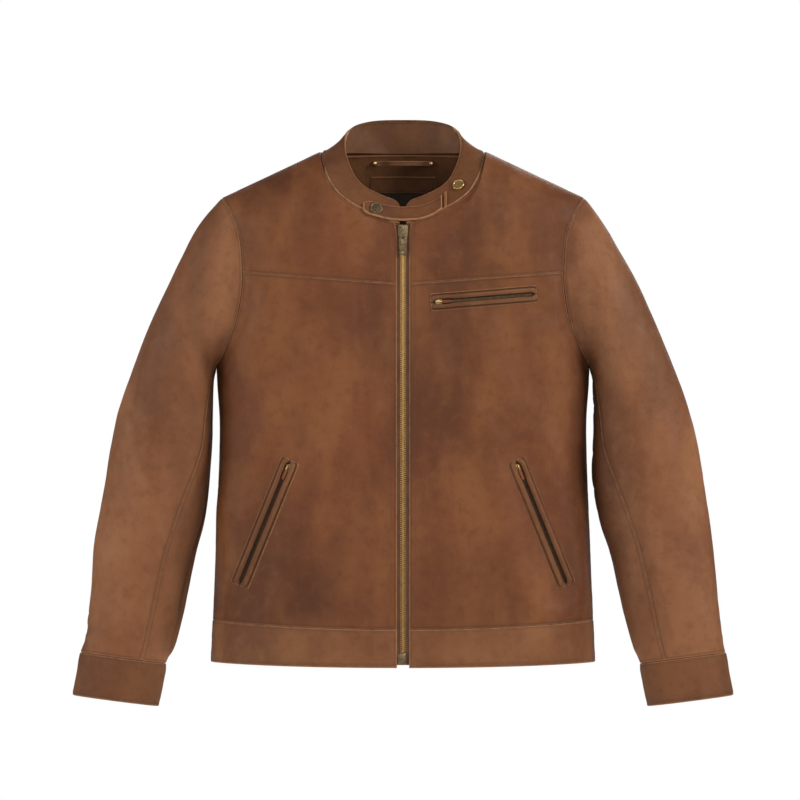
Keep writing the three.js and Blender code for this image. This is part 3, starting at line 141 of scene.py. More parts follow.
def lerp(low, high, share):
    return low + (high - low) * share


def ease(share):
    share = np.clip(share, 0, 1)
    return share * share * (3 - 2 * share)


def profile(*pairs):
    """A smooth curve through a few (place, value) pairs."""
    at, value = np.array(pairs, float).T
    after = np.minimum(np.arange(len(at)) + 1, len(at) - 1)
    before = np.maximum(np.arange(len(at)) - 1, 0)
    slope = (value[after] - value[before]) / (at[after] - at[before])

    def read(where):
        where = np.asarray(where, float)
        i = np.clip(np.searchsorted(at, where, side="right") - 1, 0, len(at) - 2)
        span = at[i + 1] - at[i]
        t = np.clip((where - at[i]) / span, 0, 1)
        rise = (1 - t) ** 2 * (value[i] * (1 + 2 * t) + slope[i] * span * t)
        return rise + t * t * (value[i + 1] * (3 - 2 * t) - slope[i + 1] * span * (1 - t))

    return read


half_width = profile(
    (0, HEM_HALF),
    (WAIST_HEIGHT / 2, lerp(HEM_HALF, WAIST_HALF, 0.55)),
    (WAIST_HEIGHT, WAIST_HALF),
    (UNDERARM, CHEST_HALF),
    (SHOULDER, CHEST_HALF + 4),
)
back_depth = profile(
    (0, BACK_DEPTH_HEM),
    (UNDERARM * 0.45, BACK_DEPTH_WAIST),
    (UNDERARM * 0.88, lerp(BACK_DEPTH_WAIST, BACK_DEPTH_BLADES, 0.55)),
    (UNDERARM * 1.2, BACK_DEPTH_BLADES),
    (SHOULDER, BACK_DEPTH_BLADES),
)
ARMHOLE = ((0, 0), (0.13, 0.4), (0.27, 0.76), (0.45, 0.98), (0.6, 1), (0.77, 0.9), (0.9, 0.62))
armhole = [(lerp(UNDERARM, SHOULDER, up), CHEST_HALF - inset * ARMHOLE_INSET) for up, inset in ARMHOLE]
armhole_x = profile(*armhole, (SHOULDER, SHOULDER_HALF))
LEAN = math.atan2(FRONT_DEPTH_HEM - FRONT_DEPTH_NECK, NECK_FRONT)
SHOULDER_SLOPE = (NECK_SIDE - SHOULDER) / (SHOULDER_HALF - NECK_HALF)


def shoulder_line(x):
    return NECK_SIDE - SHOULDER_SLOPE * (np.abs(x) - NECK_HALF)


def side_x(z):
    return np.where(np.asarray(z) < UNDERARM, half_width(z), armhole_x(z))


def fold_x(z):
    return lerp(FOLD_HEM, FOLD_TOP, np.asarray(z) / NECK_FRONT)


def closing(x, z, start):
    share = np.clip((z - start) / (shoulder_line(x) - start), 0, 1)
    return np.sqrt(1 - share * share)


def plain_front_y(x, z):
    out = np.minimum(1, np.abs(x) / half_width(z))
    rounding = np.maximum(0, (out - FLAT_SHARE) / (1 - FLAT_SHARE))
    depth = FRONT_DEPTH_HEM - np.asarray(z) * math.tan(LEAN)
    return -depth * np.sqrt(1 - rounding**2.4) * closing(x, z, NECK_FRONT)


def back_y(x, z):
    out = np.minimum(1, np.abs(x) / half_width(z))
    return back_depth(z) * np.sqrt(1 - out**2.6) * closing(x, z, SHOULDER - 120)


GROUND_MARGIN, GROUND_FADE = 4, 34  # flat this far past the pocket, then fading into the form


class Pocket:
    """The flat ground of a zipped pocket: along its opening, in through the hide, and up across it."""

    def __init__(self, start, end, height):
        ends = [np.array((x, float(plain_front_y(x, z)), z)) for x, z in (start, end)]
        self.middle = (ends[0] + ends[1]) / 2
        self.length = float(np.linalg.norm(ends[1] - ends[0]))
        self.height = height
        self.along = (ends[1] - ends[0]) / self.length

        def near(dx, dz):
            x, z = self.middle[0] + dx, self.middle[2] + dz
            return np.array((x, float(plain_front_y(x, z)), z))

        outward = np.cross(near(4, 0) - near(-4, 0), near(0, 4) - near(0, -4))
        outward /= np.linalg.norm(outward)
        outward -= self.along * (outward @ self.along)
        self.inward = -outward / np.linalg.norm(outward)
        self.up = np.cross(self.along, self.inward)

    def ground(self, x, z):
        flat = self.along[[0, 2]] / np.linalg.norm(self.along[[0, 2]])
        dx, dz = x - self.middle[0], z - self.middle[2]
        along = np.abs(dx * flat[0] + dz * flat[1]) - self.length / 2 - GROUND_MARGIN
        across = np.abs(dx * flat[1] - dz * flat[0]) - self.height / 2 - GROUND_MARGIN
        share = (1 - ease(along / GROUND_FADE)) * (1 - ease(across / GROUND_FADE))
        share = share * ease((x - fold_x(z)) / 6) * ease((half_width(z) - x) / 14)
        y = self.middle[1] - (dx * self.inward[0] + dz * self.inward[2]) / self.inward[1]
        return share, y

    def across(self, points):
        """Where points lie in the pocket's own directions."""
        return (points - self.middle) @ np.array((self.along, self.inward, self.up)).T

    def placed(self, x, y, z):
        x, y, z = np.broadcast_arrays(x, y, z)
        return self.middle + x[..., None] * self.along + y[..., None] * self.inward + z[..., None] * self.up


CHEST = Pocket((34.5, 458), (168, 469), 16.4)
HAND = Pocket((141, 261), (205.4, 102.8), 20)
POCKETS = {1: (HAND, CHEST), -1: (HAND,)}


def on_front(x, z, side):
    y = plain_front_y(x, z)
    for pocket in POCKETS[side]:
        share, flat = pocket.ground(x, z)
        y = lerp(y, flat, share)
    return np.stack((x, y, z), -1)


def laid_on_front(patch, side):
    return lambda u, v: on_front(*np.moveaxis(patch(u, v), -1, 0), side)


def on_back(x, z):
    return np.stack((x, back_y(x, z), z), -1)


TORSO_CORE = (0, 10, 340)


def coons(bottom, top, left, right):
    """The patch that four edge curves bound."""

    def at(u, v):
        corners = [edge(np.array(float(end))) for edge in (bottom, top) for end in (0, 1)]
        u, v = u[..., None], v[..., None]
        ruled = bottom(u[..., 0]) * (1 - v) + top(u[..., 0]) * v
        ruled = ruled + left(v[..., 0]) * (1 - u) + right(v[..., 0]) * u
        ruled = ruled - corners[0] * (1 - u) * (1 - v) - corners[1] * u * (1 - v)
        return ruled - corners[2] * (1 - u) * v - corners[3] * u * v

    return at


def across(start, end, height):
    def edge(u):
        x = lerp(start, end, np.sin(u * math.pi / 2))
        return np.stack((x, height(x)), -1)

    return edge


def upward(low, high, where):
    def edge(v):
        z = lerp(low, high, v)
        return np.stack((where(z) + 0 * z, z), -1)

    return edge


def waist_seam(x):
    return BAND_TOP + BAND_RISE * (x / HEM_HALF) ** 2


def hem_line(x):
    return HEM_RISE * (x / HEM_HALF) ** 2


def yoke_seam(x):
    return YOKE + YOKE_SLOPE * np.abs(x)


def noise(seed, a, b):
    """Smooth random heights from -1 to 1 over a lattice of unit cells."""
    table = np.random.default_rng(seed).uniform(-1, 1, (64, 64))
    i, j = np.floor(a).astype(int), np.floor(b).astype(int)
    s, t = ease(a - i), ease(b - j)
    low = lerp(table[i % 64, j % 64], table[(i + 1) % 64, j % 64], s)
    high = lerp(table[i % 64, (j + 1) % 64], table[(i + 1) % 64, (j + 1) % 64], s)
    return lerp(low, high, t)


def creases(seed, a, b, width=0.13):
    """Narrow valleys, in patches, where soft leather has been folded before."""
    line = noise(seed, a, b)
    patch = np.clip(2.2 * noise(seed + 1, a / 2.3 + 9, b / 2.3 + 4), 0, 1)
    return -np.exp(-((line / width) ** 2)) * patch


def body_drape(x, z, seed):
    """How the hide stands off its plain form: long upright folds, slanting ones and fine creases."""
    slant = np.sign(x) * 0.45
    folds = 4.0 * noise(seed, x / 62, z / 210) + 2.8 * noise(seed + 2, (x + slant * z) / 47, z / 140)
    fine = 1.3 * creases(seed + 4, x / 33, (z + 0.3 * x) / 88) + 0.4 * noise(seed + 6, x / 9, z / 17)
    fine = fine + 0.9 * noise(seed + 8, (x + 0.6 * z) / 24, z / 38)
    return folds + fine


def shares(length, step=3.2):
    """Places from 0 to 1 along a length in millimetres, close together at both sewn edges."""
    near = np.array((0, 0.35, 0.8, 1.4, 2.3, 3.6, 5.4))
    count = max(2, int((length - 2 * near[-1]) / step))
    middle = np.linspace(near[-1], length - near[-1], count + 1)[1:-1]
    return np.concatenate((near, middle, length - near[::-1])) / length


def held_off(lift, lowest):
    """Eases a relief so that it never sinks below the layer it lies on."""
    return lowest + np.logaddexp(0, (lift - lowest) * 1.6) / 1.6


def turned_edge(distance, radius=1.0):
    """How far the surface drops as the hide turns over at a seam."""
    inside = np.clip(distance, 0, radius)
    return -(radius - np.sqrt(np.maximum(0, radius**2 - (radius - inside) ** 2)))


def facing_away(points, core, wraps=False):
    """Normals of a grid of points that point away from its core."""
    padded = np.concatenate((points[:, -1:], points, points[:, :1]), 1) if wraps else points
    sideways = np.gradient(padded, axis=1)
    if wraps:
        sideways = sideways[:, 1:-1]
    normals = np.cross(sideways, np.gradient(points, axis=0))
    normals /= np.maximum(1e-9, np.linalg.norm(normals, axis=-1, keepdims=True))
    turned = np.sum(normals * (points - core)) < 0
    return (-normals if turned else normals), turned


def away_from(surface, reach=0.4):
    """Normals of a torso form, given as a surface over x and height."""

    def read(points):
        x, z = points[..., 0], np.minimum(points[..., 2], shoulder_line(points[..., 0]) - 2 * reach)
        sideways = surface(x + reach, z) - surface(x - reach, z)
        upwards = surface(x, z + reach) - surface(x, z - reach)
        normals = np.cross(sideways, upwards)
        normals /= np.linalg.norm(normals, axis=-1, keepdims=True)
        return normals * np.sign(np.sum(normals * (points - TORSO_CORE), -1, keepdims=True))

    return read


class Number:
    """One value that runs between a finish's nodes, and the sums that can be done with it."""

    def __init__(self, finish, socket):
        self.finish = finish
        self.socket = socket

    def sum(self, operation, first, second=0.0):
        return self.finish.node("ShaderNodeMath", {"operation": operation}, {0: first, 1: second})

    def __add__(self, other):
        return self.sum("ADD", self, other)

    def __sub__(self, other):
        return self.sum("SUBTRACT", self, other)

    def __rsub__(self, other):
        return self.sum("SUBTRACT", other, self)

    def __mul__(self, other):
        return self.sum("MULTIPLY", self, other)

    __radd__ = __add__
    __rmul__ = __mul__


class Finish:
    """A material under its maker's name, with one way to add a node to it."""

    def __init__(self, name, **fixed):
        self.material = bpy.data.materials.new(name)
        self.material.use_nodes = True
        self.tree = self.material.node_tree
        self.shader = self.tree.nodes["Principled BSDF"]
        for socket, value in fixed.items():
            self.shader.inputs[socket.replace("_", " ")].default_value = value
        self.place = self.node("ShaderNodeTexCoord", {}, {}, "Object")

    def node(self, kind, settings, sockets, output=0):
        made = self.tree.nodes.new(kind)
        for name, value in settings.items():
            setattr(made, name, value)
        self.join(made, sockets)
        return Number(self, made.outputs[output])

    def join(self, made, sockets):
        for name, value in sockets.items():
            if isinstance(value, Number):
                self.tree.links.new(value.socket, made.inputs[name])
            else:
                made.inputs[name].default_value = value

    def clouds(self, scale, detail=2.0, roughness=0.5, warp=0.0, upright=1.0):
        stretched = {0: self.place, 1: (1, 1, upright)}
        place = self.node("ShaderNodeVectorMath", {"operation": "MULTIPLY"}, stretched)
        sockets = {"Vector": place, "Scale": scale, "Detail": detail}
        return self.node("ShaderNodeTexNoise", {}, {**sockets, "Roughness": roughness, "Distortion": warp})

    def range(self, value, low, high, out_low=0.0, out_high=1.0):
        sockets = {0: value, 1: low, 2: high, 3: out_low, 4: out_high}
        return self.node("ShaderNodeMapRange", {"interpolation_type": "SMOOTHSTEP"}, sockets)

    def mix(self, share, first, second, how="MIX"):
        settings = {"data_type": "RGBA", "blend_type": how, "clamp_factor": True}
        return self.node("ShaderNodeMix", settings, {0: share, 6: first, 7: second}, 2)

    def bump(self, height, distance, strength):
        return self.node("ShaderNodeBump", {}, {"Height": height, "Distance": distance, "Strength": strength})

    def wear_and_shade(self, name):
        settings = {"attribute_type": "GEOMETRY", "attribute_name": name}
        return self.node("ShaderNodeAttribute", settings, {}, "Fac")


def tone(red, green, blue):
    """A colour given as its 0 to 255 values on a screen."""
    return tuple(((c / 255 + 0.055) / 1.055) ** 2.4 for c in (red, green, blue)) + (1.0,)


def hide_finish(name, dark, middle, pale, edge):
    """Hand-dyed leather: clouds of three tones, fine pores, painted shade, and bare tan where it is rubbed.
    """
    made = Finish(name, Specular_IOR_Level=0.2)
    broad = made.range(made.clouds(8.0, 2, 0.45, 0.3, 0.4), 0.3, 0.64)
    patches = made.range(made.clouds(16, 3, 0.5, 0.3, 0.45), 0.36, 0.7)
    fleck = made.clouds(75, 5, 0.65)
    colour = made.mix(broad * 0.72 + 0.28, dark, middle)
    colour = made.mix(patches * 0.55, colour, pale)
    colour = made.mix(made.range(fleck, 0.5, 0.75) * 0.25, colour, pale)
    colour = made.mix(made.range(fleck, 0.52, 0.3) * 0.3, colour, dark)
    # Painted shade: the colour darkens towards near black where the mesh carries painted shade.
    colour = made.mix(made.wear_and_shade("painted_shade") * 0.8, colour, made.mix(0.5, dark, (0.012, 0.005, 0.002, 1)))
    rubbed = made.wear_and_shade("rubbed") * made.range(made.clouds(160, 3), 0.25, 0.6, 0.35, 1.0)
    colour = made.mix(rubbed, colour, edge)
    pores = made.node(
        "ShaderNodeTexVoronoi", {"feature": "DISTANCE_TO_EDGE"},
        {"Vector": made.place, "Scale": 620.0, "Randomness": 1.0}
    )
    pebble = made.range(pores, 0.0, 0.22)
    height = pebble * 0.45 + made.clouds(240, 4, 0.6) * 1.1 + made.clouds(70, 3, 0.55, 0.4) * 2.0
    height = height + made.clouds(26, 2, 0.5, 0.5, 0.6) * 4.0
    rough = made.range(made.clouds(42, 4, 0.6), 0.3, 0.7, 0.5, 0.66) - rubbed * 0.08
    made.join(made.shader, {"Base Color": colour, "Roughness": rough})
    made.join(made.shader, {"Normal": made.bump(height, distance=0.0003, strength=0.8)})
    return made.material


def cloth_finish(name, dark, pale, threads):
    """Plain weave: two sets of threads that cross, over and under."""
    made = Finish(name, Sheen_Weight=0.2, Specular_IOR_Level=0.2)
    bands = {"wave_type": "BANDS", "wave_profile": "SIN"}
    warp, weft = (
        made.node(
            "ShaderNodeTexWave", {**bands, "bands_direction": way},
            {"Vector": made.place, "Scale": threads, "Distortion": 0.6, "Detail": 1.0}, "Fac"
        ) for way in ("X", "Z")
    )
    weave = warp * weft
    slubs = made.range(made.clouds(55, 4), 0.3, 0.7)
    colour = made.mix(weave * 0.5 + slubs * 0.35, dark, pale)
    made.join(made.shader, {"Base Color": colour, "Roughness": 0.85 + slubs * 0.1})
    made.join(made.shader, {"Normal": made.bump(weave, distance=0.00015, strength=0.6)})
    return made.material


BODY_HIDE = hide_finish(
    "waxed hide", tone(72, 38, 18), tone(103, 57, 29), tone(122, 77, 41), tone(158, 108, 72)
)
THREAD = cloth_finish("waxed thread", tone(80, 48, 28), tone(126, 82, 50), 2400.0)


def to_frame(points):
    return (np.asarray(points, float) - (0, LOOP_DEPTH, LOOP_HEIGHT)) / 1000


def new_piece(name, points, faces, finish, attributes=None, sharp=50):
    """A mesh object from millimetre points, smooth but for its sharp edges."""
    mesh = bpy.data.meshes.new(name)
    mesh.from_pydata(to_frame(points).tolist(), [], faces)
    mesh.polygons.foreach_set("use_smooth", [True] * len(mesh.polygons))
    mesh.set_sharp_from_angle(angle=math.radians(sharp))
    for label, values in (attributes or {}).items():
        mesh.attributes.new(label, "FLOAT", "POINT").data.foreach_set("value", values.astype(np.float32))
    mesh.materials.append(finish)
    piece = bpy.data.objects.new(name, mesh)
    bpy.context.collection.objects.link(piece)
    return piece


def run_along(points):
    lengths = np.linalg.norm(np.diff(points, axis=1), axis=-1)
    return np.concatenate((np.zeros((len(points), 1)), np.cumsum(lengths, 1)), 1)


class Hide:
    """One cut piece of leather or cloth: a grid over its form, shaped by its relief, with real thickness.

    at(u, v) is the form and core what its outer face looks away from, unless form gives the torso to lie on.
    sewn names the edges that turn under: 'l', 'r', 'b' and 't'. relief(points, inset, u, v) gives how far the
    outer face stands off the form; inset is the distance to the nearest sewn edge. skip drops cells, wraps
    joins left to right, radius rounds the edges, rub pales them and pucker draws the seams up. Painted shade
    darkens the hide in the folds of its relief, darkest at the depth hollow, along its stitch channels, and
    wherever shade(points, u, v) paints more.
    """

    def __init__(self, name, at, us, vs, core, finish, thickness=LEATHER, relief=None, sewn="lrbt",
                 skip=None, wraps=False, radius=1.0, mirror=False, rub=0.62, hollow=6.0, form=None,
                 pucker=0.3, shade=None):
        u, v = np.meshgrid(us, vs)
        points = at(u, v)
        core = core(points) if callable(core) else np.array(core, float)
        normals, turned = facing_away(points, core, wraps)
        if form:
            normals = away_from(form)(points)
        along, up = run_along(points), run_along(points.swapaxes(0, 1)).T
        insets = {"l": along, "r": along[:, -1:] - along, "b": up, "t": up[-1:] - up}
        inset = np.minimum.reduce([insets[edge] for edge in sewn]) if sewn else 0 * along + 99
        lift = relief(points, inset, u, v) if relief else 0 * inset
        dip = turned_edge(inset, radius)
        if pucker:
            drawn = noise(7, points[..., 0] / 6, points[..., 2] / 6 + points[..., 1] / 7)
            lift = lift + pucker * drawn * np.exp(-(((inset - 5) / 4) ** 2))
        points = points + normals * (lift + dip)[..., None]
        self.points, self.normals = points, normals
        rows, columns = inset.shape
        index = np.arange(rows * columns).reshape(rows, columns)
        right = np.roll(index, -1, 1) if wraps else index[:, 1:]
        left = index if wraps else index[:, :-1]
        quads = np.stack((left[:-1], right[:-1], right[1:], left[1:]), -1).reshape(-1, 4)
        outer = points.reshape(-1, 3)
        if skip:
            quads = quads[~skip(outer[quads].mean(1))]
        if turned:
            quads = quads[:, ::-1]
        inner = outer - normals.reshape(-1, 3) * thickness
        both = np.concatenate((outer, inner))
        faces = quads.tolist() + (quads[:, ::-1] + len(outer)).tolist()
        directed = {(a, b) for q in quads.tolist() for a, b in zip(q, q[1:] + q[:1])}
        rims = [(a, b) for a, b in directed if (b, a) not in directed]
        faces += [[b, a, a + len(outer), b + len(outer)] for a, b in sorted(rims)]
        if mirror:
            both = both * (-1, 1, 1)
            faces = [face[::-1] for face in faces]
            self.points, self.normals = points * (-1, 1, 1), normals * (-1, 1, 1)
        painted_extra_shade = shade(points, u, v) if shade else 0 * inset
        rubbed = (rub * np.exp(-((inset / (1.1 * radius)) ** 2)) * np.clip(1 - painted_extra_shade, 0, 1)).ravel()
        # Painted shade: what shade gives, the hollows of the relief, and a dark line along the stitch
        # channel.
        low = painted_extra_shade + np.clip((np.median(lift) - lift) / hollow, 0, 1)
        low = low + 0.55 * np.exp(-(((inset - 2.4) / 1.1) ** 2))
        used = np.unique(np.array([i for face in faces for i in face]))
        renumber = np.zeros(len(both), int)
        renumber[used] = np.arange(len(used))
        attributes = {
            "rubbed": np.tile(rubbed, 2)[used], "painted_shade": np.clip(np.tile(low.ravel(), 2), 0, 1)[used]
        }
        faces = [[int(renumber[i]) for i in face] for face in faces]
        self.piece = new_piece(name, both[used], faces, finish, attributes)

    def line(self, edge, inset):
        """The points and normals of a line on the outer face, inset from one of the edges."""
        grids = [self.points, self.normals]
        if edge in "bt":
            grids = [grid.swapaxes(0, 1) for grid in grids]
        if edge in "rt":
            grids = [grid[:, ::-1] for grid in grids]
        run = run_along(grids[0])
        return [
            np.array([[np.interp(inset, run[j], row[:, k]) for k in range(3)] for j, row in enumerate(grid)])
            for grid in grids
        ]


def stitches(name, lines, pitch=3.3, length=2.5, gauge=0.33, ends=3.0):
    """Rows of single stitches that dive into the hide at both ends, each of five rings of four points."""
    stations = np.array((-0.5, -0.36, 0, 0.36, 0.5)) * length
    heights = np.array((-0.7, 0.35, 0.75, 0.35, -0.7)) * gauge
    widths = np.array((0.35, 0.9, 1, 0.9, 0.35)) * gauge
    verts, faces, first = [], [], 0
    for points, normals in lines:
        run = run_along(points[None])[0]
        if run[-1] < 2 * ends + pitch:
            continue
        middles = np.arange(ends, run[-1] - ends, pitch)
        where = middles[:, None] + stations
        spot = np.stack([np.interp(where, run, points[:, k]) for k in range(3)], -1)
        out = np.stack([np.interp(where, run, normals[:, k]) for k in range(3)], -1)
        out /= np.linalg.norm(out, axis=-1, keepdims=True)
        ahead = spot[:, -1:] - spot[:, :1]
        ahead = ahead / np.maximum(1e-9, np.linalg.norm(ahead, axis=-1, keepdims=True))
        side = np.cross(out, ahead)
        centre = spot + out * heights[:, None]
        wide, high = side * widths[:, None], out * widths[:, None] * 0.8
        ring = np.stack((centre + wide, centre + high, centre - wide, centre - high), 2)
        verts.append(ring.reshape(-1, 3))
        for base in range(first, first + 20 * len(middles), 20):
            for s in range(4):
                for q in range(4):
                    a, b = base + 4 * s + q, base + 4 * s + (q + 1) % 4
                    faces.append([a, a + 4, b + 4, b])
            faces.append([base, base + 1, base + 2, base + 3])
            faces.append([base + 19, base + 18, base + 17, base + 16])
        first += 20 * len(middles)
    return new_piece(name, np.concatenate(verts), faces, THREAD, sharp=180)


SIDES = ((1, "left"), (-1, "right"))
FOLD_SOFTNESS = 14.0  # the front bends over this far to each side of the fold line


def folds_open(piece, side):
    """Bakes a piece's transform into its mesh; the points beside the fold line are worked out but not used.
    """
    foot, head = np.array((FOLD_HEM, 0.0)), np.array((FOLD_TOP, float(NECK_FRONT)))
    middle = (foot + head) / 2
    run = (head - foot) / np.linalg.norm(head - foot)
    towards_side = np.array((run[1], -run[0]))
    for reach in (FOLD_SOFTNESS, -FOLD_SOFTNESS):
        x, z = middle + towards_side * reach
        y = -FRONT_DEPTH_HEM + z * math.tan(LEAN)
        to_frame((side * x, y, z)).tolist()
    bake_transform(piece)


def pocket_windows(side):
    def inside(points):
        hit = np.zeros(len(points), bool)
        for pocket in POCKETS[side]:
            own = pocket.across(points)
            hit |= (np.abs(own[:, 0]) < pocket.length / 2 - 3) & (np.abs(own[:, 2]) < 5)
        return hit

    return inside


def placket(points):
    """The seam that holds the strip of hide beside the zip."""
    return -0.55 * np.exp(-(((points[..., 0] - ZIP_EDGE - 5.2) / 0.7) ** 2))


def underarm_painted_shade(points, u, v):
    """Painted shade at the side under the arm, where the sleeve shades the front."""
    x, z = points[..., 0], points[..., 2]
    return 0.55 * np.exp(-(((x - 230) / 20) ** 2)) * ease((460 - z) / 90) * ease((z - 190) / 90)


def front_relief(side):
    def relief(points, inset, u, v):
        x, z = points[..., 0], points[..., 2]
        calm = ease(inset / 22)
        for pocket in POCKETS[side]:
            calm = calm * (1 - 0.93 * pocket.ground(x, z)[0])
        calm = calm * (0.25 + 0.75 * ease((x - 16) / 40))
        folds = body_drape(x * side, z, 31 if side > 0 else 47)
        armpit = np.exp(-(((x - 205) / 42) ** 2) - ((z - 395) / 55) ** 2)
        pulls = 2.2 * creases(61 + side, (x + z) / 30, (x - z) / 120, 0.2) * armpit
        floor = lerp(-0.9, -2.0, ease((x - fold_x(z) - 4) / 12))
        return calm * held_off(1.3 * folds + pulls, floor) + placket(points)

    return relief


waist_at_side = float(waist_seam(half_width(BAND_TOP)))
yoke_at_side = float(yoke_seam(CHEST_HALF - ARMHOLE_INSET))
front_panel = coons(
    across(ZIP_EDGE, side_x(waist_at_side), waist_seam), across(ZIP_EDGE, side_x(yoke_at_side), yoke_seam),
    upward(waist_seam(ZIP_EDGE), yoke_seam(ZIP_EDGE), lambda z: ZIP_EDGE),
    upward(waist_at_side, yoke_at_side, side_x)
)
for side, name in SIDES:
    front = Hide(
        f"front_{name}_hide", laid_on_front(front_panel, side), shares(FRONT_WIDE, 2.6),
        shares(FRONT_TALL, 3.2), TORSO_CORE, BODY_HIDE, relief=front_relief(side),
        skip=pocket_windows(side), form=lambda x, z: on_front(x, z, side), shade=underarm_painted_shade, mirror=side < 0
    )
    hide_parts(f"front_panel_{name}", f"front_edge_{name}")
    folds_open(front.piece, side)
    rows = [front.line("l", 8.0), front.line("t", 1.9), front.line("b", 2.0)]
    sewing = stitches(f"front_{name}_stitching", rows)
    folds_open(sewing, side)

# ---------------------------------------------------------------- front yokes
# A second hide on each side closes the front over the chest seam, up to the collar and the shoulder.
# It is topstitched beside the zip, along its lower edge, at the shoulder and round the armhole.
NECK_SHARE = 0.45
YOKE_WIDE, YOKE_TALL = 240, 150


def spline(*points):
    points = np.array(points, float)
    last = len(points) - 1

    def read(t):
        spot = np.clip(t, 0, 1) * last
        i = np.minimum(np.floor(spot).astype(int), last - 1)
        w = (spot - i)[..., None]
        p0, p1 = points[np.maximum(i - 1, 0)], points[i]
        p2, p3 = points[i + 1], points[np.minimum(i + 2, last)]
        v0, v1 = (p2 - p0) / 2, (p3 - p1) / 2
        return (2 * p1 - 2 * p2 + v0 + v1) * w**3 + (3 * p2 - 3 * p1 - 2 * v0 - v1) * w**2 + v0 * w + p1

    return read


def neck_point(across_share, up_share):
    return NECK_HALF * across_share, lerp(NECK_FRONT, NECK_SIDE, up_share)


neckline = spline(
    (FOLD_TOP, NECK_FRONT + 0.5), neck_point(0.44, 0.165), neck_point(0.8, 0.42), neck_point(0.96, 0.72),
    neck_point(1, 1)
)


def top_edge(neck):
    """The upper edge of a front or back: round the neck, then along the shoulder."""

    def edge(u):
        x = lerp(NECK_HALF, SHOULDER_HALF, np.clip((u - NECK_SHARE) / (1 - NECK_SHARE), 0, 1))
        shoulder = np.stack((x, shoulder_line(x)), -1)
        return np.where((u < NECK_SHARE)[..., None], neck(np.clip(u / NECK_SHARE, 0, 1)), shoulder)

    return edge


def yoke_bottom(u):
    x = lerp(ZIP_EDGE, float(side_x(yoke_at_side)), u)
    return np.stack((x, yoke_seam(x)), -1)


def towards_top(v):
    return np.sin(v * math.pi / 2)


def crowded_up(patch):
    """The same patch with its rows drawn together towards its top, where it curves most."""
    return lambda u, v: patch(u, towards_top(v))


def yoke_edge_x(z):
    return lerp(ZIP_EDGE, FOLD_TOP, ease((np.asarray(z) - NECK_FRONT + 12) / 12))


def yoke_relief(side):
    def relief(points, inset, u, v):
        x, z = points[..., 0], points[..., 2]
        calm = ease(inset / 26) * (0.2 + 0.8 * ease((x - 16) / 40))
        folds = held_off(body_drape(x * side, z + 40, 83 if side > 0 else 97), -0.9)
        return calm * folds + placket(points)

    return relief


front_yoke = coons(
    yoke_bottom, top_edge(neckline), upward(yoke_seam(ZIP_EDGE), NECK_FRONT + 0.5, yoke_edge_x),
    upward(yoke_at_side, SHOULDER, side_x)
)
for side, name in SIDES:
    yoke = Hide(
        f"yoke_{name}_hide", laid_on_front(crowded_up(front_yoke), side), shares(YOKE_WIDE, 2.8),
        shares(YOKE_TALL, 2.6), TORSO_CORE, BODY_HIDE, relief=yoke_relief(side),
        form=lambda x, z: on_front(x, z, side), mirror=side < 0
    )
    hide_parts(f"front_yoke_{name}")
    folds_open(yoke.piece, side)
    rows = [yoke.line("l", 8.0), yoke.line("b", 1.9), yoke.line("r", 2.2), yoke.line("t", 2.2)]
    sewing = stitches(f"yoke_{name}_stitching", rows)
    folds_open(sewing, side)

# ---------------------------------------------------------------- back
# One wide hide hangs from a shallow yoke over the shoulder blades. Both run from side seam to side seam
# and are topstitched where they meet and along the shoulders.
BACK_WIDE, BACK_TALL, BLADES_WIDE, BLADES_TALL = 640, 455, 560, 160


def fasten(slot, body, *pieces):
    """Puts pieces on the body that carries them. The slot is not used."""
    for piece in pieces:
        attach(piece, body)


def laid_on_back(half):
    """A patch drawn from the middle to one side, laid on the back over its whole width."""

    def at(u, v):
        edge = half(np.abs(2 * u - 1), v)
        return on_back(edge[..., 0] * np.sign(2 * u - 1), edge[..., 1])

    return at


def back_neckline(x):
    return NECK_SIDE + 2 * (1 - (x / NECK_HALF) ** 2)


def back_neck(t):
    x = NECK_HALF * np.sin(t * math.pi / 2)
    return np.stack((x, back_neckline(x)), -1)


back_half = coons(
    across(0, side_x(waist_at_side), waist_seam), across(0, side_x(BACK_YOKE), lambda x: BACK_YOKE + 0 * x),
    upward(BAND_TOP, BACK_YOKE, lambda z: 0), upward(waist_at_side, BACK_YOKE, side_x)
)
back_yoke_half = coons(
    lambda u: np.stack((u * float(side_x(BACK_YOKE)), BACK_YOKE + 0 * u), -1), top_edge(back_neck),
    upward(BACK_YOKE, back_neckline(0), lambda z: 0), upward(BACK_YOKE, SHOULDER, side_x)
)


def back_relief(points, inset, u, v):
    return ease(inset / 26) * held_off(1.2 * body_drape(points[..., 0], points[..., 2], 113), -2.0)


back = Hide(
    "back_hide", laid_on_back(back_half), shares(BACK_WIDE, 4.2), shares(BACK_TALL, 4.0), TORSO_CORE,
    BODY_HIDE, relief=back_relief, form=on_back
)
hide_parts("back_panel")
blades = Hide(
    "back_yoke_hide", laid_on_back(crowded_up(back_yoke_half)), shares(BLADES_WIDE, 4.0),
    shares(BLADES_TALL, 2.8), TORSO_CORE, BODY_HIDE, relief=back_relief, form=on_back
)
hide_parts("back_yoke")
rows = [back.line("t", 2), back.line("b", 2), blades.line("b", 2)]
rows += [blades.line("t", 2.2), blades.line("l", 2.2), blades.line("r", 2.2)]
sewing = stitches("back_stitching", rows)
fasten("body_leather", "shell", back.piece, blades.piece, sewing)

# ---------------------------------------------------------------- waistband
# A doubled strip of hide, folded at the hem and topstitched along both edges. Each front length runs on
# to the zip and bends with its front.
BAND_THICKNESS = 3.4
TRIM_HIDE = hide_finish(
    "waxed trim hide", tone(82, 47, 25), tone(110, 67, 38), tone(130, 87, 54), tone(164, 116, 80)
)


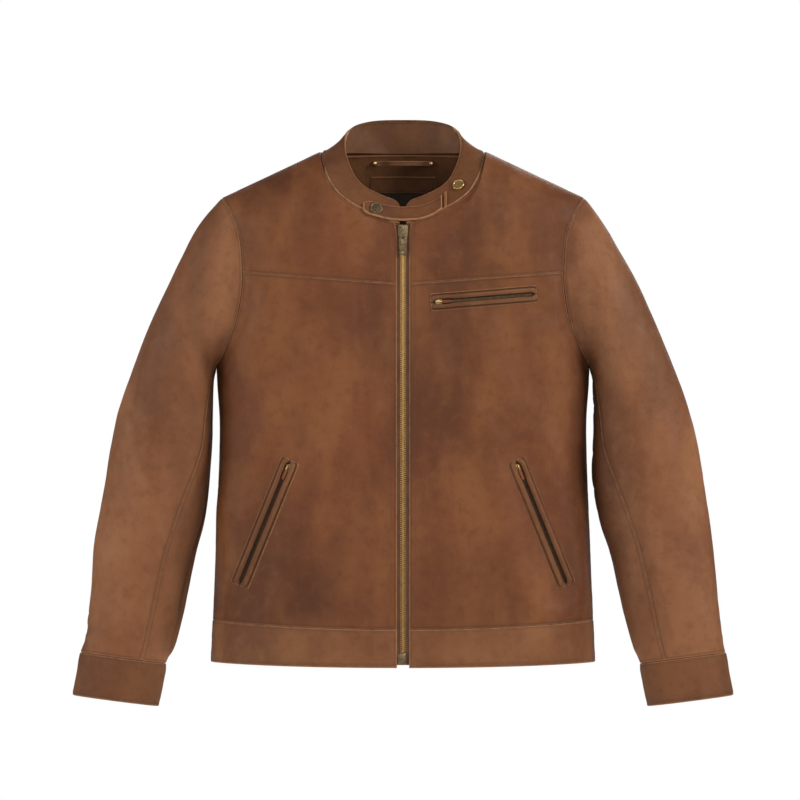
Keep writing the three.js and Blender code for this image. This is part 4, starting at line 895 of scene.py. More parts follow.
def band_side(v):
    z = lerp(float(hem_line(HEM_HALF)), waist_at_side, v)
    return np.stack((half_width(z), z), -1)


def band_relief(seed):
    def relief(points, inset, u, v):
        x, z = points[..., 0], points[..., 2]
        ripple = 0.5 * noise(seed, x / 38, z / 70) + 0.22 * noise(seed + 1, x / 9, z / 30)
        return BAND_PROUD + ease(inset / 9) * (0.5 + ripple)

    return relief


front_band = coons(
    across(ZIP_EDGE, half_width(0), hem_line), across(ZIP_EDGE, half_width(waist_at_side), waist_seam),
    upward(0.2, waist_seam(ZIP_EDGE), lambda z: ZIP_EDGE), band_side
)
back_band = coons(
    across(0, half_width(0), hem_line), across(0, half_width(waist_at_side), waist_seam),
    upward(0, BAND_TOP, lambda z: 0), band_side
)


def band_rows(band):
    return [band.line("t", 2.2), band.line("b", 3.0), band.line("b", 6.0)]


for side, name in SIDES:
    band = Hide(
        f"waistband_{name}_hide", laid_on_front(front_band, side), shares(FRONT_WIDE, 3.0),
        shares(BAND_TOP, 2.8), TORSO_CORE, TRIM_HIDE, thickness=BAND_THICKNESS,
        relief=band_relief(131 + side), radius=1.5, mirror=side < 0
    )
    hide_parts(f"waistband_{name}", f"waistband_end_{name}")
    sewing = stitches(f"waistband_{name}_stitching", band_rows(band) + [band.line("l", 2.5)])
    for piece in (band.piece, sewing):
        folds_open(piece, side)
band = Hide(
    "waistband_back_hide", laid_on_back(back_band), shares(BACK_WIDE, 4.0), shares(BAND_TOP, 2.8),
    TORSO_CORE, TRIM_HIDE, thickness=BAND_THICKNESS, relief=band_relief(141), radius=1.5
)
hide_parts("waistband_back")
sewing = stitches("waistband_back_stitching", band_rows(band))
fasten("trim_leather", "shell", band.piece, sewing)

# ---------------------------------------------------------------- collar
# A band collar of two layers of hide, low at the throat and higher behind, with rounded front corners
# and a row of stitching round its edge.
COLLAR_ROUND, COLLAR_TALL = 520, 34
COLLAR_LEAN, COLLAR_FRONT, COLLAR_BACK = 22, 28, 36
COLLAR_INSET, COLLAR_GAP, COLLAR_END = 2.6, 1.2, 3.5
COLLAR_HIDE = hide_finish(
    "waxed collar hide", tone(70, 39, 20), tone(98, 58, 32), tone(112, 72, 42), tone(160, 112, 76)
)
INNER_HIDE = hide_finish(
    "facing hide", tone(66, 38, 20), tone(96, 60, 34), tone(110, 73, 44), tone(136, 94, 60)
)


def smooth_curve(points, closed):
    """A centripetal curve through points, read by the share of its stretches."""
    points = np.array(points, float)
    count = len(points)

    def at(i):
        if closed:
            return points[i % count]
        inner = points[np.clip(i, 0, count - 1)]
        inner = np.where((i < 0)[..., None], 2 * points[0] - points[1], inner)
        return np.where((i >= count)[..., None], 2 * points[-1] - points[-2], inner)

    def read(u):
        spot = np.asarray(u, float) * (count if closed else count - 1)
        i = np.floor(spot).astype(int)
        if not closed:
            i = np.minimum(i, count - 2)
        w = (spot - i)[..., None]
        p = [at(i + k) for k in (-1, 0, 1, 2)]
        d = [np.maximum(1e-4, np.sum((b - a) ** 2, -1)[..., None] ** 0.25) for a, b in zip(p, p[1:])]
        t1 = (p[1] - p[0]) / d[0] - (p[2] - p[0]) / (d[0] + d[1]) + (p[2] - p[1]) / d[1]
        t2 = (p[2] - p[1]) / d[1] - (p[3] - p[1]) / (d[1] + d[2]) + (p[3] - p[2]) / d[2]
        t1, t2 = t1 * d[1], t2 * d[1]
        c2 = -3 * p[1] + 3 * p[2] - 2 * t1 - t2
        return p[1] + t1 * w + c2 * w**2 + (2 * p[1] - 2 * p[2] + t1 + t2) * w**3

    return read


def collar_root(t):
    x, z = neckline(np.array(t))
    return (x - COLLAR_INSET * float(ease(2 * t)), float(plain_front_y(x, z)), z + 0.4)


def collar_root_behind(share):
    x = NECK_HALF * share
    z = float(back_neckline(x))
    return (x - COLLAR_INSET * share, float(back_y(x, z)), z + 0.4)


collar_base = [(0, -FRONT_DEPTH_NECK, NECK_FRONT + 0.5)]
collar_base += [collar_root(t) for t in (0.25, 0.5, 0.75, 1)]
collar_base += [collar_root_behind(share) for share in (0.86, 0.48, 0)]
rises = (  # from the seam to the top edge, from the throat round to the back
    (0, COLLAR_LEAN, COLLAR_FRONT + 1.5),
    (-13, 20, 24),
    (-28, 21, 14),
    (-33, 22, 6),
    (-30, 10, 8),
    (-20, 14, COLLAR_BACK - 7),
    (-5, 3, COLLAR_BACK + 1.5),
    (0, -7, COLLAR_BACK + 4),
)
collar_crest = [np.array(root) + rise for root, rise in zip(collar_base, rises)]


def whole_ring(points):
    mirrored = [(-x, y, z) for x, y, z in points[1:-1][::-1]]
    return smooth_curve(list(points) + mirrored, True)


base_ring, crest_ring = whole_ring(collar_base), whole_ring(collar_crest)
COLLAR_HEIGHT = float(np.linalg.norm(collar_crest[-1] - collar_base[-1]))
CORNER = 13.0


def collar(u, v):
    base, crest = base_ring(u), crest_ring(u)
    return base + (crest - base) * v[..., None]


def collar_share_at(x):
    low, high = 0.0, 0.25
    for _ in range(30):
        middle = (low + high) / 2
        reached = collar(np.array(middle), np.array(0.5))[0] < x
        low, high = (middle, high) if reached else (low, middle)
    return low


collar_start = collar_share_at(COLLAR_END)


def collar_at(low, high=1.0):
    def at(u, v):
        share = lerp(collar_start, 1 - collar_start, u)
        reach = np.abs(collar(share, 0 * v + 0.5)[..., 0]) - COLLAR_END
        in_front = (share < 0.2) | (share > 0.8)
        near = np.where(in_front, np.clip(1 - reach / CORNER, 0, 1), 0)
        drop = CORNER * (1 - np.sqrt(1 - near**2)) / COLLAR_TALL
        return collar(share, lerp(low, high - drop, v))

    return at


def collar_core(points):
    return points * (0, 0, 1) + (0, 8, 0)


def collar_relief(seed, sunk=0.0):
    def relief(points, inset, u, v):
        wave = 0.7 * noise(seed, u * 26, v * 1.4) + 0.25 * noise(seed + 1, u * 90, v * 4)
        return ease(inset / 10) * wave - sunk

    return relief


outer = Hide(
    "collar_hide", collar_at(COLLAR_GAP / COLLAR_HEIGHT), shares(COLLAR_ROUND, 3.2),
    shares(COLLAR_TALL, 2.4), collar_core, COLLAR_HIDE, thickness=2.1, relief=collar_relief(151),
    radius=1.2, rub=0.9
)
inner = Hide(
    "collar_inner_hide", collar_at(-0.06, 0.97), shares(COLLAR_ROUND, 3.6), shares(COLLAR_TALL, 2.8),
    collar_core, INNER_HIDE, thickness=2.1, relief=collar_relief(153, 2.0), sewn="lrt", rub=0.6
)
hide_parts("collar_outer")
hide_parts("collar_lining")
rows = [outer.line("t", 2.6), outer.line("b", 2.0), outer.line("l", 2.6), outer.line("r", 2.6)]
sewing = stitches("collar_stitching", rows)
fasten("trim_leather", "shell", outer.piece, sewing)
fasten("facing_leather", "shell", inner.piece)

# ---------------------------------------------------------------- inside the neck
# A leather facing takes the strain behind the neck. The hanger strip is riveted to it at both ends and
# stands off it between them, over a blank sewn patch.
FACING_DEPTH = LEATHER + 2.5
FACING_HALF, FACING_LOW, FACING_TALL = 84, NECK_SIDE - 42, 44
PATCH_HALF, PATCH_LOW, PATCH_HIGH = 42, 599.5, 620.5
LOOP_Y = LOOP_DEPTH + 6.6
HANGER_LENGTH, HANGER_WIDTH, HANGER_BOW, RIVET_PITCH, RIVET_RADIUS = 78, 6, 6, 72, 2.6


def inside_neck(half, low, high, depth):
    """A patch on the inner side of the back of the neck, seen from inside."""

    def at(u, v):
        x = lerp(-half, half, u)
        roof = np.minimum(back_neckline(x), shoulder_line(x)) - 2.5
        z = lerp(low, np.minimum(high, roof), v)
        surface = on_back(x, z)
        normals, _ = facing_away(surface, np.array(TORSO_CORE, float))
        return surface - normals * depth

    return at


def far_behind(points):
    return points + (0, 500, 0)


facing = Hide(
    "neck_facing_hide", inside_neck(FACING_HALF, FACING_LOW, math.inf, FACING_DEPTH + LEATHER),
    shares(2 * FACING_HALF, 3.0), shares(FACING_TALL, 2.4), far_behind, INNER_HIDE,
    relief=lambda points, inset, u, v: 0.3 * ease(inset / 9) * noise(161, u * 12, v * 3), rub=0.12
)
patch = Hide(
    "label_patch", inside_neck(PATCH_HALF, PATCH_LOW, PATCH_HIGH, FACING_DEPTH + LEATHER + 1.1),
    shares(2 * PATCH_HALF, 3.0), shares(PATCH_HIGH - PATCH_LOW, 2.4), far_behind, INNER_HIDE, thickness=0.9,
    radius=0.6, rub=0.9
)


def hanger_at(u, v):
    x = lerp(-0.5, 0.5, u) * HANGER_LENGTH
    slack = ease((RIVET_PITCH / 2 - 2 * RIVET_RADIUS - np.abs(x)) / (RIVET_PITCH / 4))
    end = np.clip((np.abs(x) - HANGER_LENGTH / 2 + 3) / 3, 0, 1)
    width = HANGER_WIDTH * np.sqrt(np.maximum(0.02, 1 - end**2))
    return np.stack((x, LOOP_Y - HANGER_BOW * slack - 1.2, LOOP_HEIGHT + 3 + (v - 0.5) * width), -1)


hanger = Hide(
    "hanger_strip", hanger_at, shares(HANGER_LENGTH, 2.4),
    np.array((0, 0.06, 0.14, 0.3, 0.5, 0.7, 0.86, 0.94, 1)), far_behind, TRIM_HIDE, thickness=1.2,
    radius=0.5, pucker=0
)
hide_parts("neck_facing")
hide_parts("hanger_loop")
rows = [facing.line("b", 2), facing.line("l", 2), facing.line("r", 2)]
rows += [patch.line(edge, 1.4) for edge in "lrbt"] + [hanger.line("b", 1.1), hanger.line("t", 1.1)]
sewing = stitches("neck_stitching", rows, pitch=2.6, length=1.9, gauge=0.24, ends=1.5)
fasten("facing_leather", "shell", facing.piece, patch.piece, hanger.piece, sewing)


def metal_finish(name, bright, dull, roughness):
    """Antiqued brass: dull and bright in random clouds, with fine scratches."""
    made = Finish(name, Metallic=1.0)
    tarnish = made.range(made.clouds(420, 4, 0.6), 0.35, 0.7)
    scratches = made.clouds(1500, 2)
    made.join(made.shader, {"Base Color": made.mix(tarnish, bright, dull)})
    made.join(made.shader, {"Roughness": tarnish * 0.16 + roughness})
    made.join(made.shader, {"Normal": made.bump(scratches, distance=0.00005, strength=0.4)})
    return made.material


BRASS = metal_finish("antique brass", tone(196, 164, 108), tone(146, 112, 66), 0.3)


def turned_metal(name, node, rows, body, finish, around=40):
    """A round fitting turned to a profile of radius and height shares, where its node lies."""
    spots = np.array([v.co[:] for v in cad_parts[node].data.vertices])
    middle = (spots.min(0) + spots.max(0)) / 2
    axis = np.linalg.svd(spots - spots.mean(0))[2][2]
    core = (middle[0], 1.0, middle[2]) if "rivet" in node else (0, 0.03, middle[2] + 0.02)
    away = middle - np.array(core)
    axis = axis if axis @ away > 0 else -axis
    reach = (spots - middle) @ axis
    size = np.linalg.norm((spots - middle) - np.outer(reach, axis), axis=1).max()
    sideways = np.cross(axis, (0.3, 0.2, 0.9))
    sideways /= np.linalg.norm(sideways)
    other = np.cross(axis, sideways)
    turn = np.linspace(0, 2 * math.pi, around, endpoint=False)
    radial = np.outer(np.cos(turn), sideways) + np.outer(np.sin(turn), other)
    low, high = reach.min(), reach.max()
    points = [middle + radial * (r * size) + axis * lerp(low, high, h) for r, h in rows]
    points = np.concatenate(points) * 1000 + (0, LOOP_DEPTH, LOOP_HEIGHT)
    faces = [list(range(around))[::-1], [(len(rows) - 1) * around + i for i in range(around)]]
    for ring in range(len(rows) - 1):
        for i in range(around):
            a, b = ring * around + i, ring * around + (i + 1) % around
            faces.append([a, b, b + around, a + around])
    piece = new_piece(name, points, faces, finish, sharp=60)
    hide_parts(node)
    fasten("brass_fittings", body, piece)


RIVET_ROWS = ((0.45, 0), (0.45, 0.5), (1, 0.52), (1, 0.66), (0.86, 0.84), (0.55, 0.96), (0.12, 1))
for side, name in SIDES:
    turned_metal(f"hanger_rivet_{name}_head", f"hanger_rivet_{name}", RIVET_ROWS, "shell", BRASS, 28)

# ---------------------------------------------------------------- body lining
# Plain cloth in three pieces, sewn in along the facings, the neck and the waistband, and hanging free
# between them behind the pocket bags.
LINING, LINING_DEPTH, SEWN_WIDTH = 1.0, 12.5, 18
TUCK = 4
LINING_CLOTH = cloth_finish("lining cloth", tone(38, 28, 22), tone(66, 50, 39), 900.0)
LINING_SPAN = NECK_SIDE - BAND_TOP


def lining_relief(width, both_sides, flat_top, seed):
    def relief(points, inset, u, v):
        sides = (np.minimum(u, 1 - u) if both_sides else 1 - u) * width
        from_hem = towards_top(v) * LINING_SPAN
        from_top = LINING_SPAN - from_hem - flat_top
        free = ease(sides / SEWN_WIDTH) * ease(from_hem / SEWN_WIDTH) * ease(from_top / SEWN_WIDTH)
        x, z = points[..., 0], points[..., 2]
        soft = 1.6 * noise(seed, x / 42, z / 190) + 0.7 * noise(seed + 1, x / 16, z / 90)
        return -lerp(LEATHER + 2.5, LINING_DEPTH, free) + free * (soft - 0.8)

    return relief


front_lining = coons(
    across(fold_x(waist_at_side), side_x(waist_at_side), lambda x: waist_seam(x) - TUCK),
    top_edge(neckline), upward(waist_seam(FOLD_HEM) - TUCK, NECK_FRONT + 0.5, fold_x),
    upward(waist_at_side - TUCK, SHOULDER, side_x)
)
back_lining = coons(
    across(0, side_x(waist_at_side), lambda x: waist_seam(x) - TUCK), top_edge(back_neck),
    upward(BAND_TOP - TUCK, back_neckline(0), lambda z: 0), upward(waist_at_side - TUCK, SHOULDER, side_x)
)
edge_shares = np.linspace(0.008, 0.99, 70)
for side, name in SIDES:
    lining = Hide(
        f"lining_front_{name}_cloth", laid_on_front(crowded_up(front_lining), side), edge_shares,
        np.linspace(0.005, 0.972, 110), TORSO_CORE, LINING_CLOTH, thickness=LINING,
        relief=lining_relief(230, False, 0, 171 + 2 * side), form=lambda x, z: on_front(x, z, side),
        sewn="", mirror=side < 0
    )
    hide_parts(f"lining_front_{name}")
    fasten("lining_cloth", "shell", lining.piece)


def beside_facing(points):
    x, z = points[:, 0], points[:, 2]
    return (np.abs(x) < FACING_HALF - 3) & (z > FACING_LOW + 3)


lining = Hide(
    "lining_back_cloth", laid_on_back(crowded_up(back_lining)), np.linspace(0.005, 0.995, 150),
    np.linspace(0.005, 0.972, 110), TORSO_CORE, LINING_CLOTH, thickness=LINING,
    relief=lining_relief(500, True, 62, 181), form=on_back, sewn="", skip=beside_facing
)
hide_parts("lining_back")
fasten("lining_cloth", "shell", lining.piece)
for name in ("facing_left", "facing_right"):
    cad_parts[name].data.materials.clear()
    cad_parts[name].data.materials.append(INNER_HIDE)
for name in ("chest_pocket_bag", "hand_pocket_left_bag", "hand_pocket_right_bag"):
    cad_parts[name].data.materials.clear()
    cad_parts[name].data.materials.append(LINING_CLOTH)

# ---------------------------------------------------------------- sleeves
# Each sleeve is a broad top hide and a narrow under hide, joined by two long seams and set into the
# armhole, where the turnings lie flat inside. A tube of cloth lines it.
# Down the sleeve: its outer edge across and up from the shoulder, its inner edge across and up from the
# underarm, its depth in front and behind, and how far forward it hangs.
STATIONS = (
    (0, 0, 0, 0, 42, 54, 0),
    (23, -24, 1.6, -7, 47, 55, 0),
    (48.5, -69, 2.6, -15, 50, 55, 0),
    (80.5, -129, 3.2, -28, 52, 55, 1),
    (106, -189, 3.6, -44, 52, 54, 3),
    (123.5, -249, 4, -68, 50, 51, 6),
    (136, -309, 5, -114, 47, 48, 9),
    (147, -370, 13, -181, 44, 44, 12),
    (156.5, -430, 27, -230, 41, 41, 16),
    (165, -490, 41, -287, 37, 37, 20),
    (172, -545, 55, -343, 32, 32, 24),
    (177.5, -571, 63, -370, 28.5, 28.5, 26),
)
LAST = len(STATIONS) - 1
SETTLE = 1.5 / LAST
UNDER_AROUND, UNDER_LONG, TOP_AROUND, TOP_LONG = 95, 390, 240, 560
# The sleeve hide is paler than the body's: painted light for the stronger light the sleeves catch.
SLEEVE_HIDE = hide_finish(
    "waxed sleeve hide", tone(82, 47, 26), tone(117, 72, 43), tone(137, 92, 60), tone(162, 114, 80)
)


def station(column, start=0.0):
    return profile(*[(i / LAST, start + row[column]) for i, row in enumerate(STATIONS)])


outer_x, outer_z = station(0, SHOULDER_HALF), station(1, SHOULDER)
inner_x, inner_z = station(2, CHEST_HALF), station(3, UNDERARM)
sleeve_front, sleeve_back, sleeve_forward = station(4), station(5), station(6)


def hoop(share, t):
    """Round the sleeve: 0 at its inner edge, 0.25 in front, 0.5 outside and 0.75 behind."""
    turn = share * 2 * math.pi
    c, s = (1 - np.cos(turn)) / 2, np.sin(turn)
    deep = np.where(s > 0, sleeve_front(t), sleeve_back(t))
    x, z = lerp(inner_x(t), outer_x(t), c), lerp(inner_z(t), outer_z(t), c)
    return np.stack((x, -deep * s - sleeve_forward(t), z), -1)


def armhole_ring(share):
    turn = share * 2 * math.pi
    z = lerp(UNDERARM, SHOULDER, (1 - np.cos(turn)) / 2)
    x = armhole_x(z)
    return np.stack((x, np.where(np.sin(turn) > 0, plain_front_y(x, z), back_y(x, z)), z), -1)


def sleeve(share, t):
    share = np.mod(share, 1)
    settled = 0.5 * ease(t / SETTLE) + 0.5 * np.minimum(1, t / SETTLE)
    ring = armhole_ring(share)
    return ring + (hoop(share, t) - ring) * settled[..., None]


def from_armhole(share, t):
    outer = (1 - np.cos(share * 2 * math.pi)) / 2
    return lerp(lerp(0.004, 0.0015, outer), 1, t)


front_seam = profile((0, 0.07), (0.5, 0.1), (0.65, 0.17), (1, 0.18))


def sleeve_strip(low, high):
    def at(u, t):
        share = lerp(low(t), high(t), u)
        return sleeve(share, from_armhole(share, t))

    return at


def sleeve_core(points):
    return 0 * points + points.mean(1, keepdims=True)


def under_core(points):
    return points + (60, 0, 12)


def sleeve_drape(seed, low, high):
    def relief(points, inset, u, t):
        share = np.mod(lerp(low(t), high(t), u), 1)
        a, b = share * 270, t * 600
        folds = 4.4 * noise(seed, a / 46, b / 170) + 3.4 * noise(seed + 2, (a + 0.5 * b) / 44, b / 110)
        elbow = np.exp(-(((t - 0.5) / 0.17) ** 2))
        inner = np.exp(-((np.minimum(share, 1 - share) / 0.2) ** 2))
        folds = folds + 3.6 * elbow * inner * creases(seed + 4, (a - b) / 34, (a + b) / 105, 0.2)
        wrist = np.exp(-(((t - 0.93) / 0.09) ** 2))
        folds = folds + 2.4 * wrist * creases(seed + 8, a / 60, b / 17, 0.22)
        folds = folds + 0.9 * creases(seed + 12, a / 30, (b + 0.4 * a) / 80)
        folds = folds + 0.25 * noise(seed + 14, a / 8, b / 14)
        beside_body = ease(1.6 * inner) * ease((0.62 - t) / 0.15)
        folds = lerp(folds, np.minimum(folds, 0) * 0.8 - 0.6, beside_body)
        return ease(inset / 20) * held_off(folds, -3.0) * (0.55 + 0.45 * ease(t / 0.12))

    return relief


# Painted shade along the inner side of each sleeve, which hangs beside the body; it fades out near the cuff.
def inner_sleeve_painted_shade(low, high):
    def shade(points, u, t):
        share = np.mod(lerp(low(t), high(t), u), 1)
        inner = np.minimum(share, 1 - share)
        return 0.7 * np.exp(-((inner / 0.14) ** 2)) * (0.5 + 0.5 * ease(t / 0.1)) * ease((1.02 - t) / 0.2)

    return shade


def behind_front(t):
    return -front_seam(t) - 0.02


def past_back(t):
    return behind_front(t) + 1


TURNINGS, TURNINGS_DEPTH, TUBE_DEPTH = 6.0, 2.6, 6.4


def tube_relief(points, inset, u, t):
    return -TUBE_DEPTH - 0.9 * (1 + noise(241, np.sin(u * 2 * math.pi) * 3, t * 14))


def armhole_turnings(u, v):
    """The seam's turnings, which lie flat inside from the body across the armhole into the sleeve."""
    c = np.cos(u * 2 * math.pi)
    seam, into_sleeve = armhole_ring(u), sleeve(u, 0 * u + 0.03)
    z = seam[..., 2] - TURNINGS * np.maximum(0, c) + TURNINGS * SHOULDER_SLOPE * np.maximum(0, -c)
    x = np.minimum(seam[..., 0] - TURNINGS * np.sqrt(1 - np.maximum(0, c) ** 2), half_width(z))
    y = np.where(np.sin(u * 2 * math.pi) > 0, plain_front_y(x, z), back_y(x, z))
    on_body = lerp(np.stack((x, y, z), -1), seam, np.clip(2 * v, 0, 1)[..., None])
    return lerp(on_body, into_sleeve, np.clip(2 * v - 1, 0, 1)[..., None])


for side, name in SIDES:
    # The turnings are painted all over with shade, so the gap between sleeve and body reads dark.
    turnings = Hide(
        f"armhole_turnings_{name}", armhole_turnings, np.linspace(0, 1, 120, endpoint=False),
        np.linspace(0, 1, 9), TORSO_CORE, SLEEVE_HIDE,
        relief=lambda points, inset, u, v: 0 * u - TURNINGS_DEPTH, sewn="", wraps=True, mirror=side < 0,
        rub=0, pucker=0, shade=lambda points, u, v: 0 * u + 0.8
    )
    fasten("body_leather", "shell", turnings.piece)
    under = Hide(
        f"sleeve_under_{name}_hide", sleeve_strip(behind_front, front_seam), shares(UNDER_AROUND, 2.8),
        shares(UNDER_LONG, 3.6), under_core, SLEEVE_HIDE,
        relief=sleeve_drape(201 + side, behind_front, front_seam),
        shade=inner_sleeve_painted_shade(behind_front, front_seam), mirror=side < 0
    )
    top = Hide(
        f"sleeve_top_{name}_hide", sleeve_strip(front_seam, past_back), shares(TOP_AROUND, 3.0),
        shares(TOP_LONG, 3.6), sleeve_core, SLEEVE_HIDE,
        relief=sleeve_drape(221 + side, front_seam, past_back), shade=inner_sleeve_painted_shade(front_seam, past_back),
        mirror=side < 0
    )
    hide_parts(f"sleeve_under_{name}")
    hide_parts(f"sleeve_top_{name}")
    sewing = stitches(f"sleeve_{name}_stitching", [top.line("l", 2.0), top.line("r", 2.0)])
    fasten("body_leather", "shell", under.piece, top.piece, sewing)
    tube = Hide(
        f"lining_sleeve_{name}_cloth", lambda u, t: sleeve(u, from_armhole(u, t)),
        np.linspace(0, 1, 72, endpoint=False), np.linspace(0.014, 0.995, 120), sleeve_core, LINING_CLOTH,
        thickness=LINING, relief=tube_relief, sewn="", wraps=True, mirror=side < 0
    )
    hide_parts(f"lining_sleeve_{name}")
    fasten("lining_cloth", "shell", tube.piece)

# ---------------------------------------------------------------- cuffs
# A doubled band of the collar's darker hide closes each sleeve. It is topstitched where it joins the
# sleeve and twice round its hem.
CUFF = 55
down_sleeve = np.array((9.5, -2.0, -54.0))
down_sleeve /= np.linalg.norm(down_sleeve)


def cuff_at(u, v):
    return sleeve(u, 0 * u + 1.0) + down_sleeve * (CUFF * v[..., None])


def cuff_relief(points, inset, u, v):
    ring = np.stack((np.cos(u * 2 * math.pi), np.sin(u * 2 * math.pi)))
    ripple = 0.7 * noise(251, ring[0] * 3 + 5, ring[1] * 3 + v * 2)
    ripple = ripple + 0.3 * noise(253, ring[0] * 9, ring[1] * 9)
    return BAND_PROUD + ease(inset / 9) * (0.5 + ripple)


for side, name in SIDES:
    cuff = Hide(
        f"cuff_{name}_hide", cuff_at, np.linspace(0, 1, 96, endpoint=False),
        shares(CUFF - 1, 2.6) * 0.993 + 0.007, sleeve_core, COLLAR_HIDE, thickness=BAND_THICKNESS,
        relief=cuff_relief, sewn="bt", wraps=True, radius=1.5, mirror=side < 0
    )
    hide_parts(f"cuff_{name}")
    rows = [cuff.line("b", 2.2), cuff.line("t", 3.0), cuff.line("t", 6.0)]
    sewing = stitches(f"cuff_{name}_stitching", rows)
    fasten("trim_leather", "shell", cuff.piece, sewing)

# ---------------------------------------------------------------- pockets
# Two lips of hide, rolled where they meet and stitched down all round, close over a brass zip. Its
# slider carries a narrow leather tongue that lies in the slot.
SLOT_HALF, PARTED, END_TAB, PARTED_LENGTH = 2.2, 1.1, 6, 24
TOOTH_PITCH, TOOTH_REACH, TOOTH_DEPTHS = 2.1, 2.1, (2.4, 3.8)
TOOTH_SHARE = 0.42  # of the pitch, to each side of a tooth
ROOM_FOR_SLIDER, TAPE_HALF, TAPE_DEPTH, LIP_CORNER = 11, 7.5, 3.0, 3.2
LIP_ROWS = np.array(
    (0, 0.05, 0.1, 0.16, 0.23, 0.31, 0.4, 0.48, 0.56, 0.63, 0.68, 0.73, 0.78, 0.82, 0.86, 0.9, 0.95, 1)
)
LIP_SPREAD = 3.2  # the stitched flange lies on the hide this far past the window's frame
TAB_HIDE = hide_finish(
    "pull hide", tone(84, 42, 24), tone(118, 64, 38), tone(134, 78, 48), tone(160, 104, 68)
)
# Dark brass: the darker metal of the main zip's slider, pull, box and pin, and painted shade on the pocket
# teeth and the strap's snap cap.
DARK_BRASS = metal_finish("dark brass", tone(128, 110, 84), tone(88, 72, 52), 0.32)
TAPE_CLOTH = cloth_finish("zip tape", tone(74, 50, 35), tone(116, 84, 60), 700.0)


def lip_at(pocket, up, side):
    half, rim = pocket.length / 2, pocket.height / 2 + LIP_SPREAD

    def at(u, v):
        x = lerp(-half, half, u)
        ends = np.clip((np.abs(x) - half + END_TAB) / 3, 0, 1)
        by_slider = ease((x + half - END_TAB + 2) / 3) * ease((PARTED_LENGTH + END_TAB - x - half) / 7)
        slot = lerp(SLOT_HALF + PARTED * by_slider, 0.12, ease(ends))
        corner = np.clip((np.abs(x) - half + LIP_CORNER) / LIP_CORNER, 0, 1)
        edge = rim - LIP_CORNER * (1 - np.sqrt(1 - corner**2))
        place = pocket.placed(x, 0 * x, up * lerp(slot, edge, v))
        return place * (side, 1, 1)

    return at


def lip_relief(points, inset, u, v):
    roll = 3.0 * np.sqrt(np.clip(1 - ((v - 0.31) / 0.37) ** 2, 0, 1))
    ends = ease(np.minimum(u, 1 - u) / 0.045)
    piping = 0.5 * np.exp(-(((v - 0.86) / 0.07) ** 2))
    return 0.25 + lerp(0.5, roll, ends) + piping


# Painted shade in the slot between the lips and along the line where they are stitched down.
def lip_shade(points, u, v):
    return 1.3 * np.exp(-((v / 0.1) ** 2)) + 0.5 * np.exp(-(((v - 0.7) / 0.07) ** 2))


def tooth_row(placed, starts, side, deep, reach, pitch):
    """Zip teeth: rounded blocks, each with a nib that meets the other half."""
    outline = np.array(((-0.35, 0.36), (0.25, 0.44), (0.6, 0.36), (1, 0.38)))
    across_tooth = np.concatenate((outline[:, 0], outline[::-1, 0])) * reach
    half = np.concatenate((outline[:, 1], -outline[::-1, 1])) * pitch * TOOTH_SHARE
    layers = ((deep[0], 0.72), (lerp(*deep, 0.22), 1), (lerp(*deep, 0.78), 1), (deep[1], 0.72))
    count = len(half)
    verts, faces = [], []
    for start in starts:
        base = len(verts) * count
        for depth, scale in layers:
            middle = 0.32 * reach
            x = start + half * scale
            z = side * (middle + (across_tooth - middle) * scale)
            verts.append(np.stack((x, depth + 0 * x, z), -1))
        for layer in range(3):
            for i in range(count):
                a, b = base + layer * count + i, base + layer * count + (i + 1) % count
                faces.append([a, b, b + count, a + count])
        faces.append([base + i for i in range(count)][::-1])
        faces.append([base + 3 * count + i for i in range(count)])
    return placed(np.concatenate(verts)), faces


def eased(name, node, width, finish, slot, body, segments=2):
    """A small fitting in the shape of its node, with every edge eased as cast and tumbled metal is."""
    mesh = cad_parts[node].data.copy()
    shape = bmesh.new()
    shape.from_mesh(mesh)
    bmesh.ops.remove_doubles(shape, verts=shape.verts, dist=1e-6)
    bmesh.ops.dissolve_limit(shape, angle_limit=0.02, verts=shape.verts, edges=shape.edges)
    corners = [e for e in shape.edges if len(e.link_faces) == 2 and e.calc_face_angle(0) > 0.5]
    rounding = {"offset": width / 1000, "segments": segments, "profile": 0.5, "clamp_overlap": True}
    bmesh.ops.bevel(shape, geom=corners, affect="EDGES", **rounding)
    bmesh.ops.triangulate(shape, faces=[f for f in shape.faces if len(f.verts) > 4])
    shape.to_mesh(mesh)
    shape.free()
    mesh.polygons.foreach_set("use_smooth", [True] * len(mesh.polygons))
    mesh.set_sharp_from_angle(angle=math.radians(40))
    mesh.materials.clear()
    mesh.materials.append(finish)
    piece = bpy.data.objects.new(name, mesh)
    bpy.context.collection.objects.link(piece)
    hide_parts(node)
    fasten(slot, body, piece)


